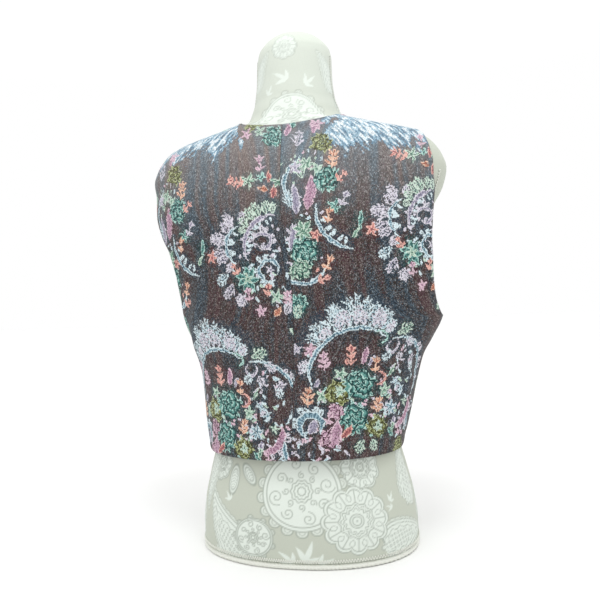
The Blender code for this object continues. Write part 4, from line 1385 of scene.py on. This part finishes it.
class Print:
    """A print on a sheet of points: how white each point is, and how strongly a grey line crosses it."""

    def __init__(self, across, up, girth):
        self.across, self.up, self.girth = across, up, girth
        self.white, self.line = np.zeros(across.shape), np.zeros(across.shape)

    def about(self, x, y, degrees=0.0):
        """Offsets from a place, turned so that the first runs along the given direction."""
        aside = (self.across - x + self.girth / 2) % self.girth - self.girth / 2
        up, turn = self.up - y, math.radians(degrees)
        return aside * math.cos(turn) + up * math.sin(turn), up * math.cos(turn) - aside * math.sin(turn)

    def fill(self, inward, strength=1.0):
        """Prints white where the distance inside an edge is above zero, and wipes what was drawn under it."""
        share = np.clip(0.5 + inward / 1.1, 0, 1)
        self.white += (strength - self.white) * share
        self.line *= 1 - share

    def draw(self, away, width=1.0, strength=1.0):
        """Draws a thin grey line where a distance is near zero."""
        self.line = np.maximum(self.line, strength * np.clip(1.15 - np.abs(away) / width, 0, 1))

    def curl(self, x, y, radius, turn, hand=1):
        """A small spiral line of one and a half turns."""
        along, across = self.about(x, y)
        away = np.hypot(along, across)
        angle = (np.arctan2(across, along) * hand - turn) % (2 * math.pi)
        for wind in (0, 1):
            path = radius * (1 - (angle + wind * 2 * math.pi) / (3.4 * math.pi))
            self.draw(np.where((path > 0.8) & (away < radius * 1.3), away - path, 9.0), 0.9, 0.9)

    def scallops(self, away, angle, radius, count, size):
        """A row of half rounds outside a circle."""
        centre = radius + size * 0.15
        turned = (angle * count / (2 * math.pi)) % 1 - 0.5
        off = np.hypot(away - centre, turned * 2 * math.pi * centre / count)
        outside = np.where(away > radius, size - off, -9.0)
        self.fill(outside, 0.75)
        self.draw(np.where(away > radius, off - size, 9.0))
        self.draw(np.where(away > radius, off - size * 0.5, 9.0), 0.8, 0.7)

    def wheel(self, x, y, radius, turn):
        """A medallion: scalloped outside, a broad rim, and curls about a toothed heart."""
        along, across = self.about(x, y)
        away, angle = np.hypot(along, across), np.arctan2(across, along) + math.radians(turn)
        self.scallops(away, angle, radius, round(radius / 2.4), radius * 0.14)
        self.fill(radius - away)
        for rim in (1.0, 0.9):
            self.draw(away - radius * rim)
        for number, (out, size) in enumerate([(0.66, 0.21), (0.64, 0.16), (0.70, 0.18), (0.62, 0.15)] * 2):
            place = math.radians(turn) + (number + 0.3) * math.pi / 4
            hand = 1 if number % 2 else -1
            self.curl(
                x + radius * out * math.cos(place), y + radius * out * math.sin(place),
                radius * size, place + number, hand,
            )
        for number in range(8):
            place = math.radians(turn) + number * math.pi / 4
            self.curl(
                x + radius * 0.4 * math.cos(place), y + radius * 0.4 * math.sin(place), radius * 0.09, place
            )
        for ring in (0.27, 0.19, 0.1):
            self.draw(away - radius * ring * (1 + 0.06 * np.cos(angle * 10)))

    def flower(self, x, y, radius, petals, turn):
        """A round flower of scalloped petals, with a leaf in each and wavy rings round its heart."""
        along, across = self.about(x, y)
        away, angle = np.hypot(along, across), np.arctan2(across, along) - math.radians(turn)
        lobe = np.abs(np.cos(angle * petals / 2)) ** 0.6
        edge = radius * (0.86 + 0.14 * lobe)
        self.fill(edge - away)
        self.draw(away - edge)
        self.draw(away - edge + radius * 0.10)
        between = ((angle * petals / (2 * math.pi)) % 1 - 0.5) * 2 * math.pi * away / petals
        petal = np.where((away > radius * 0.52) & (away < edge - radius * 0.1), between, 9.0)
        self.draw(np.where(np.abs(petal) < 9, np.abs(petal) - math.pi * away / petals, 9.0), 0.9, 0.9)
        leaf = radius * 0.07 * np.sin(np.pi * np.clip((away / radius - 0.56) / 0.24, 0, 1))
        in_leaf = (away > radius * 0.56) & (away < radius * 0.8)
        self.draw(np.where(in_leaf, np.abs(between) - leaf, 9.0), 0.8, 0.8)
        for ring, waves in ((0.50, 0.5), (0.42, 1.0), (0.34, 1.0), (0.2, 0.0), (0.13, 0.0)):
            self.draw(away - radius * ring * (1 + 0.10 * waves * np.cos(angle * petals)), 0.9)
        self.draw(away, 1.6)

    def paisley(self, x, y, degrees, length, turn_over):
        """A bent drop with a beaded edge, a lobed inner drop and dots."""
        along, across = self.about(x, y, degrees)
        along = along + length * 0.5
        across = across * turn_over + length * 0.34 * np.clip(along / length, 0, 1.2) ** 2 - length * 0.08
        part = np.clip(along / length, 0, 1)
        half = length * 0.30 * np.sqrt(np.clip(np.sin(np.pi * part**0.62), 0, 1)) * (1 - part) ** 0.35
        inward = half - np.abs(across)
        past_end = -np.hypot(across, np.minimum(along, length - along))
        inward = np.where((along < 0) | (along > length), past_end, inward)
        bead = 1.5 * np.abs(np.sin(along / length * 30))
        self.fill(inward + 2.4 + bead, 0.7)
        self.draw(inward + 2.4 + bead, 0.9, 0.8)
        self.fill(inward)
        self.draw(inward)
        self.draw(inward - length * 0.05, 0.9)
        deep = inward - length * 0.11
        self.draw(deep + 1.2 * np.sin(along / length * 40), 0.9, 0.9)
        dots = np.hypot((along % 5.2) - 2.6, (across % 5.2) - 2.6)
        self.draw(np.where(deep > 2.5, dots - 1.3, 9.0), 0.8, 0.8)

    def oval(self, x, y, degrees, length):
        """A long leaf with slanted veins inside a plain border."""
        along, across = self.about(x, y, degrees)
        reach = np.hypot(along / (length * 0.5), across / (length * 0.22))
        inward = (1 - reach) * length * 0.22
        self.fill(inward)
        self.draw(inward)
        self.draw(inward - 2.2, 0.8, 0.8)
        veins = np.abs((along + np.abs(across) * 0.6) % 3.4 - 1.7)
        self.draw(np.where(inward > 2.8, veins, 9.0), 0.7, 0.8)

    def spray(self, x, y, degrees, size):
        """Three plain white leaves from one foot, with no drawn line."""
        for lean, reach in ((0, 1.0), (46, 0.72), (-50, 0.66)):
            along, across = self.about(x, y, degrees + lean)
            part = np.clip(along / (size * reach), 0, 1)
            bent = across + size * 0.2 * part * (1 - part)
            inward = size * 0.11 * np.sin(np.pi * part**0.7) - np.abs(bent)
            self.fill(np.where((along > 0) & (along < size * reach), inward, -9.0), 1.2)


def printed(motifs, across, up, girth):
    """How white the print is at a sheet of points, and how strongly its grey lines show there."""
    cover = Print(across, up, girth)
    for motif in motifs:
        getattr(cover, type(motif).__name__.lower())(*motif)
    return cover.white, cover.line


FORM_DENSE = 600
FORM_COLUMNS = 200

# Bands of the form's height and the rows of points in each, closest together where the cover shows
FormBand = namedtuple("FormBand", "low high rows")
DENSE_BANDS = [FormBand(0.0000, 0.0076, 3), FormBand(0.0080, 0.1350, 96)]
OPEN_BANDS = [
    FormBand(0.1350, 0.4000, 20),
    FormBand(0.4000, 0.5100, 22),
    FormBand(0.5100, 0.6250, 84),
    FormBand(0.6250, 0.6620, 26),
]

COVER_GROUND = "#bcc1b4"
COVER_WHITE = "#d9e0d8"
COVER_LINE = "#8f978c"

# In millimetres up from the base: where the neck's print takes over, and where painted light makes the print
# paler towards the top
NECK_PRINT_FROM = 500
PAINTED_LIGHT_FROM, PAINTED_LIGHT_TO = 470, 600


def ring_share(points):
    """How far round its own ring each point lies, from 0 at the centre back, growing to the right as seen."""
    half_width, back, front, lean = read_levels(FORM_LEVELS, points[:, 2])[:4]
    depth = np.where(points[:, 1] > lean, back, front)
    angle = np.arctan2((points[:, 1] - lean) / depth, points[:, 0] / half_width)
    return ((math.pi / 2 - angle + math.pi) % (2 * math.pi) - math.pi) / (2 * math.pi)


def cover_colours(points):
    """The printed cover's colour at points of its surface, with painted light that makes it paler towards the
    top of the neck.
    """
    share = -ring_share(points)
    up = points[:, 2] / MM
    body = printed(BODY_PRINT, share * BODY_GIRTH, up, BODY_GIRTH)
    neck = printed(NECK_PRINT, share * NECK_GIRTH, up, NECK_GIRTH)
    is_neck = up > NECK_PRINT_FROM
    white = np.where(is_neck, neck[0], body[0])[:, None]
    line = np.where(is_neck, neck[1], body[1])[:, None]
    # Painted light: the cover is painted paler and its lines fainter towards the top, where light from above
    # falls on the neck
    painted_light = smooth_step(up, PAINTED_LIGHT_FROM, PAINTED_LIGHT_TO)[:, None]
    ground, paint, drawn = (np.array(linear(tone)) for tone in (COVER_GROUND, COVER_WHITE, COVER_LINE))
    colour = ground + (paint - ground) * np.maximum(np.clip(white, 0, 1), painted_light * 0.45)
    return colour + (drawn - colour) * line * (0.8 - 0.4 * painted_light)


def band_heights(bands):
    heights = []
    for band in bands:
        rows = np.linspace(band.low, band.high, band.rows + 1)
        heights.extend(rows if not heights or band.low > heights[-1] else rows[1:])
    return heights


def ring(columns, height):
    angles = np.arange(columns) * 2 * math.pi / columns
    return ring_points(FORM_LEVELS, angles, np.full(columns, height))


def dress_form():
    """The form's cover as one closed surface, finest where it shows below the hem."""
    dense, open_rows = band_heights(DENSE_BANDS), band_heights(OPEN_BANDS)[1:]
    low = np.concatenate([ring(FORM_DENSE, h) for h in dense])
    high = np.concatenate([ring(FORM_COLUMNS, h) for h in open_rows])
    points = np.concatenate([low, high])
    first_high = len(low)
    faces = grid_faces(len(dense), FORM_DENSE, closed=True)
    ratio = FORM_DENSE // FORM_COLUMNS
    last_dense = first_high - FORM_DENSE
    for c in range(FORM_COLUMNS):
        fine = [last_dense + (c * ratio + k) % FORM_DENSE for k in range(ratio + 1)]
        faces.append((*fine, first_high + (c + 1) % FORM_COLUMNS, first_high + c))
    faces += grid_faces(len(open_rows), FORM_COLUMNS, first=first_high, closed=True)
    faces.append(tuple(range(FORM_DENSE))[::-1])
    faces.append(tuple(range(len(points) - FORM_COLUMNS, len(points))))
    cover = piece("form_cover", points, faces, printed_cotton())
    colour = cover_colours(points)
    opaque = np.ones((len(colour), 1))
    attribute = cover.data.color_attributes.new("print", "FLOAT_COLOR", "POINT")
    attribute.data.foreach_set("color", np.concatenate([colour, opaque], axis=1).ravel())
    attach(cover, "root")
    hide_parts("dress_form")


def tube(name, path, normals, radius, material, closed=False, sides=6):
    """A thread along a line of points, with its ends closed unless it runs round."""
    path, normals = np.array(path), np.array(normals)
    if closed:
        along = np.roll(path, -1, axis=0) - np.roll(path, 1, axis=0)
    else:
        along = np.gradient(path, axis=0)
    along /= np.linalg.norm(along, axis=1, keepdims=True)
    aside = np.cross(along, normals)
    aside /= np.linalg.norm(aside, axis=1, keepdims=True)
    above = np.cross(aside, along)
    turn = np.arange(sides) * 2 * math.pi / sides
    ring = aside[:, None] * np.cos(turn)[None, :, None] + above[:, None] * np.sin(turn)[None, :, None]
    points = (path[:, None] + ring * radius).reshape(-1, 3)
    faces = grid_faces(len(path), sides, closed=True)
    if closed:
        faces += close_round(len(path), sides)
    else:
        faces.append(tuple(range(sides))[::-1])
        faces.append(tuple(range(len(points) - sides, len(points))))
    return piece(name, points, faces, material)


def piece(name, points, faces, material):
    mesh = bpy.data.meshes.new(name)
    mesh.from_pydata(np.asarray(points).tolist(), [], faces)
    mesh.update()
    mesh.shade_smooth()
    mesh.materials.append(material)
    made = bpy.data.objects.new(name, mesh)
    bpy.context.collection.objects.link(made)
    return made


CORD_TURNS = 46
CORD_SECTIONS = 1062
CORD_SIDES = 12
STRAND_DEPTH = 1.0 * MM


def rim_cord(material):
    """A cord of three twisted strands round the base, where the cover's edge is caught."""
    angles = np.arange(CORD_SECTIONS) * 2 * math.pi / CORD_SECTIONS
    height = CORD_RADIUS + SEAM_GAP / 2
    ring = ring_points(FORM_LEVELS, angles, np.full(CORD_SECTIONS, height))
    normals = outward(FORM_LEVELS, ring)
    normals[:, 2] = 0
    normals /= np.linalg.norm(normals, axis=1, keepdims=True)
    centre = ring + normals * (CORD_RADIUS + SEAM_GAP)
    side = np.arange(CORD_SIDES) * 2 * math.pi / CORD_SIDES
    twist = (side[None, :] * 3 + angles[:, None] * CORD_TURNS * 3) / 3
    reach = CORD_RADIUS - STRAND_DEPTH * (1 - np.abs(np.cos(twist * 1.5)))
    out, up = np.cos(side)[None, :] * reach, np.sin(side)[None, :] * reach
    points = centre[:, None] + normals[:, None] * out[..., None] + np.array([0, 0, 1.0]) * up[..., None]
    faces = grid_faces(CORD_SECTIONS, CORD_SIDES, closed=True) + close_round(CORD_SECTIONS, CORD_SIDES)
    cord = piece("rim_cord", points.reshape(-1, 3), [face[::-1] for face in faces], material)
    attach(cord, "root")
    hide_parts("base_cord")


OVERLOCK_THREAD = 0.5 * MM
OVERLOCK_REACH = 3.6 * MM
OVERLOCK_PITCH = 3.4 * MM
RIM_LENGTH = 760 * MM
RIM_SEAM = 0.0105

# Where the thread goes over the seam in one stitch, from one side (1) to the other (-1)
OVERLOCK_SWING = [0.0, 1.0, 0.85, 0.0, -0.85, -1.0]

# Where overlocked seams run up the cover's sides, on the neck and the arm caps
Seam = namedtuple("Seam", "name degrees low high")
COVER_SEAMS = [
    Seam("neck_left", 9.0, 0.553, 0.628),
    Seam("neck_right", 171.0, 0.553, 0.628),
    Seam("arm_cap_left", 12.0, 0.404, 0.462),
    Seam("arm_cap_right", 168.0, 0.404, 0.462),
]


def overlock(name, angles, heights, material, closed=False):
    """A zigzag thread over a seam of the cover."""
    line = ring_points(FORM_LEVELS, angles, heights)
    normals = outward(FORM_LEVELS, line)
    along = np.gradient(line, axis=0)
    aside = np.cross(normals, along)
    aside /= np.linalg.norm(aside, axis=1, keepdims=True)
    swing = np.array(OVERLOCK_SWING)[np.arange(len(line)) % len(OVERLOCK_SWING)]
    lift = OVERLOCK_THREAD * (0.9 + 0.6 * (1 - swing**2))
    path = line + aside * (swing * OVERLOCK_REACH / 2)[:, None] + normals * lift[:, None]
    stitches = tube(name, path, normals, OVERLOCK_THREAD, material, closed)
    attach(stitches, "root")


def cover_stitches(material):
    """The overlocked seams: round the cover's lower edge, and up its sides."""
    count = int(RIM_LENGTH / OVERLOCK_PITCH) * len(OVERLOCK_SWING)
    angles = np.arange(count) * 2 * math.pi / count
    overlock("rim_overlock", angles, np.full(count, RIM_SEAM), material, closed=True)
    for seam in COVER_SEAMS:
        count = int((seam.high - seam.low) / OVERLOCK_PITCH) * len(OVERLOCK_SWING)
        heights = np.linspace(seam.low, seam.high, count)
        overlock(seam.name + "_overlock", np.full(count, math.radians(seam.degrees)), heights, material)


def front_place(towards_right, height):
    """The outside of the right front at a distance from the centre line, and its normal there."""
    levels = vest_levels()
    depth = read_levels(levels, np.array([height]))[2, 0]
    angle = -math.pi / 2 + math.asin(towards_right / depth)
    point = ring_points(levels, np.array([angle]), np.array([height]))
    normal = outward(levels, point)
    point[:, 0] *= -1
    normal[:, 0] *= -1
    point[:, 0] += read_levels(SWAY_LEVELS, point[:, 2])[0]
    lap = (CLOTH + LAP_GAP) * smooth_step(towards_right, LAP_RISE_START, LAP_RISE_END)
    return point[0] + normal[0] * (fold_rise(point)[0] + lap), normal[0]


BUTTON_HEIGHT = 4.2 * MM
SHANK_RADIUS = 2.4 * MM
SHANK_LENGTH = 1.6 * MM
BUTTON_SIDES = 48

# The turned button from its crown to its shank: share of the radius, and share of the height above the shank
BUTTON_PROFILE = [
    (0.0, 1.0), (0.2, 0.985), (0.4, 0.94), (0.55, 0.86), (0.62, 0.74), (0.66, 0.70), (0.70, 0.74),
    (0.80, 0.76), (0.90, 0.66), (0.97, 0.48), (1.0, 0.28), (0.985, 0.12), (0.94, 0.0),
]


def turned_button(number, material):
    """A turned shank button: a low crown in a groove, and a rounded rim."""
    rise = BUTTON_HEIGHT - SHANK_LENGTH
    profile = [(BUTTON_RADIUS * out, SHANK_LENGTH + rise * up) for out, up in BUTTON_PROFILE]
    profile += [(SHANK_RADIUS, SHANK_LENGTH), (SHANK_RADIUS, 0.0)]
    seat, normal = front_place(0.0, TOP_BUTTON - number * BUTTON_SPACING)
    turn = Vector(normal).to_track_quat("Z", "Y").to_matrix()
    points = [Vector((0, 0, profile[0][1]))]
    for out, up in profile[1:]:
        for k in range(BUTTON_SIDES):
            angle = k * 2 * math.pi / BUTTON_SIDES
            points.append(Vector((out * math.cos(angle), out * math.sin(angle), up)))
    points = [turn @ p + Vector(seat + normal * SEAM_GAP) for p in points]
    faces = [(0, 1 + k, 1 + (k + 1) % BUTTON_SIDES) for k in range(BUTTON_SIDES)]
    faces += [face[::-1] for face in grid_faces(len(profile) - 1, BUTTON_SIDES, first=1, closed=True)]
    faces.append(tuple(range(len(points) - BUTTON_SIDES, len(points)))[::-1])
    made = piece(f"turned_button_{number + 1}", points, faces, material)
    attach(made, "root")
    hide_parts(f"button_{number + 1}")


BUTTONHOLE_FROM, BUTTONHOLE_TO = -2 * MM, 15 * MM
BUTTONHOLE_WIDTH = 2.4 * MM
BUTTONHOLE_POINTS = 72
BUTTONHOLE_THREAD = 0.45 * MM
BUTTONHOLE_LIFT_MM = 0.35
BUTTONHOLE_ROUGH = 0.25 * MM


def buttonhole(number, material):
    """The worked edge of a buttonhole, which runs from under its button towards the wearer's right."""
    height = TOP_BUTTON - number * BUTTON_SPACING
    middle, half = (BUTTONHOLE_FROM + BUTTONHOLE_TO) / 2, (BUTTONHOLE_TO - BUTTONHOLE_FROM) / 2
    path, normals = [], []
    for k in range(BUTTONHOLE_POINTS):
        turn = k * 2 * math.pi / BUTTONHOLE_POINTS
        out, up = math.cos(turn), math.sin(turn)
        across = middle + half * math.copysign(abs(out) ** 0.5, out)
        rough = BUTTONHOLE_ROUGH * (k % 2)
        edge = BUTTONHOLE_WIDTH / 2 * math.copysign(abs(up) ** 0.6, up)
        place, normal = front_place(across, height + edge + rough)
        path.append(place + normal * BUTTONHOLE_LIFT_MM * MM)
        normals.append(normal)
    worked = tube(f"buttonhole_{number + 1}", path, normals, BUTTONHOLE_THREAD, material, closed=True)
    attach(worked, "root")


def main():
    place_camera()
    studio()
    dress_form()
    dress_vest()
    thread = cotton_thread("cotton_cord", "#e6e8df")
    rim_cord(thread)
    cover_stitches(thread)
    button = polished_casein()
    buttonhole_thread = cotton_thread("buttonhole_thread", "#3b3b40")
    for number in range(BUTTON_COUNT):
        turned_button(number, button)
        buttonhole(number, buttonhole_thread)


main()
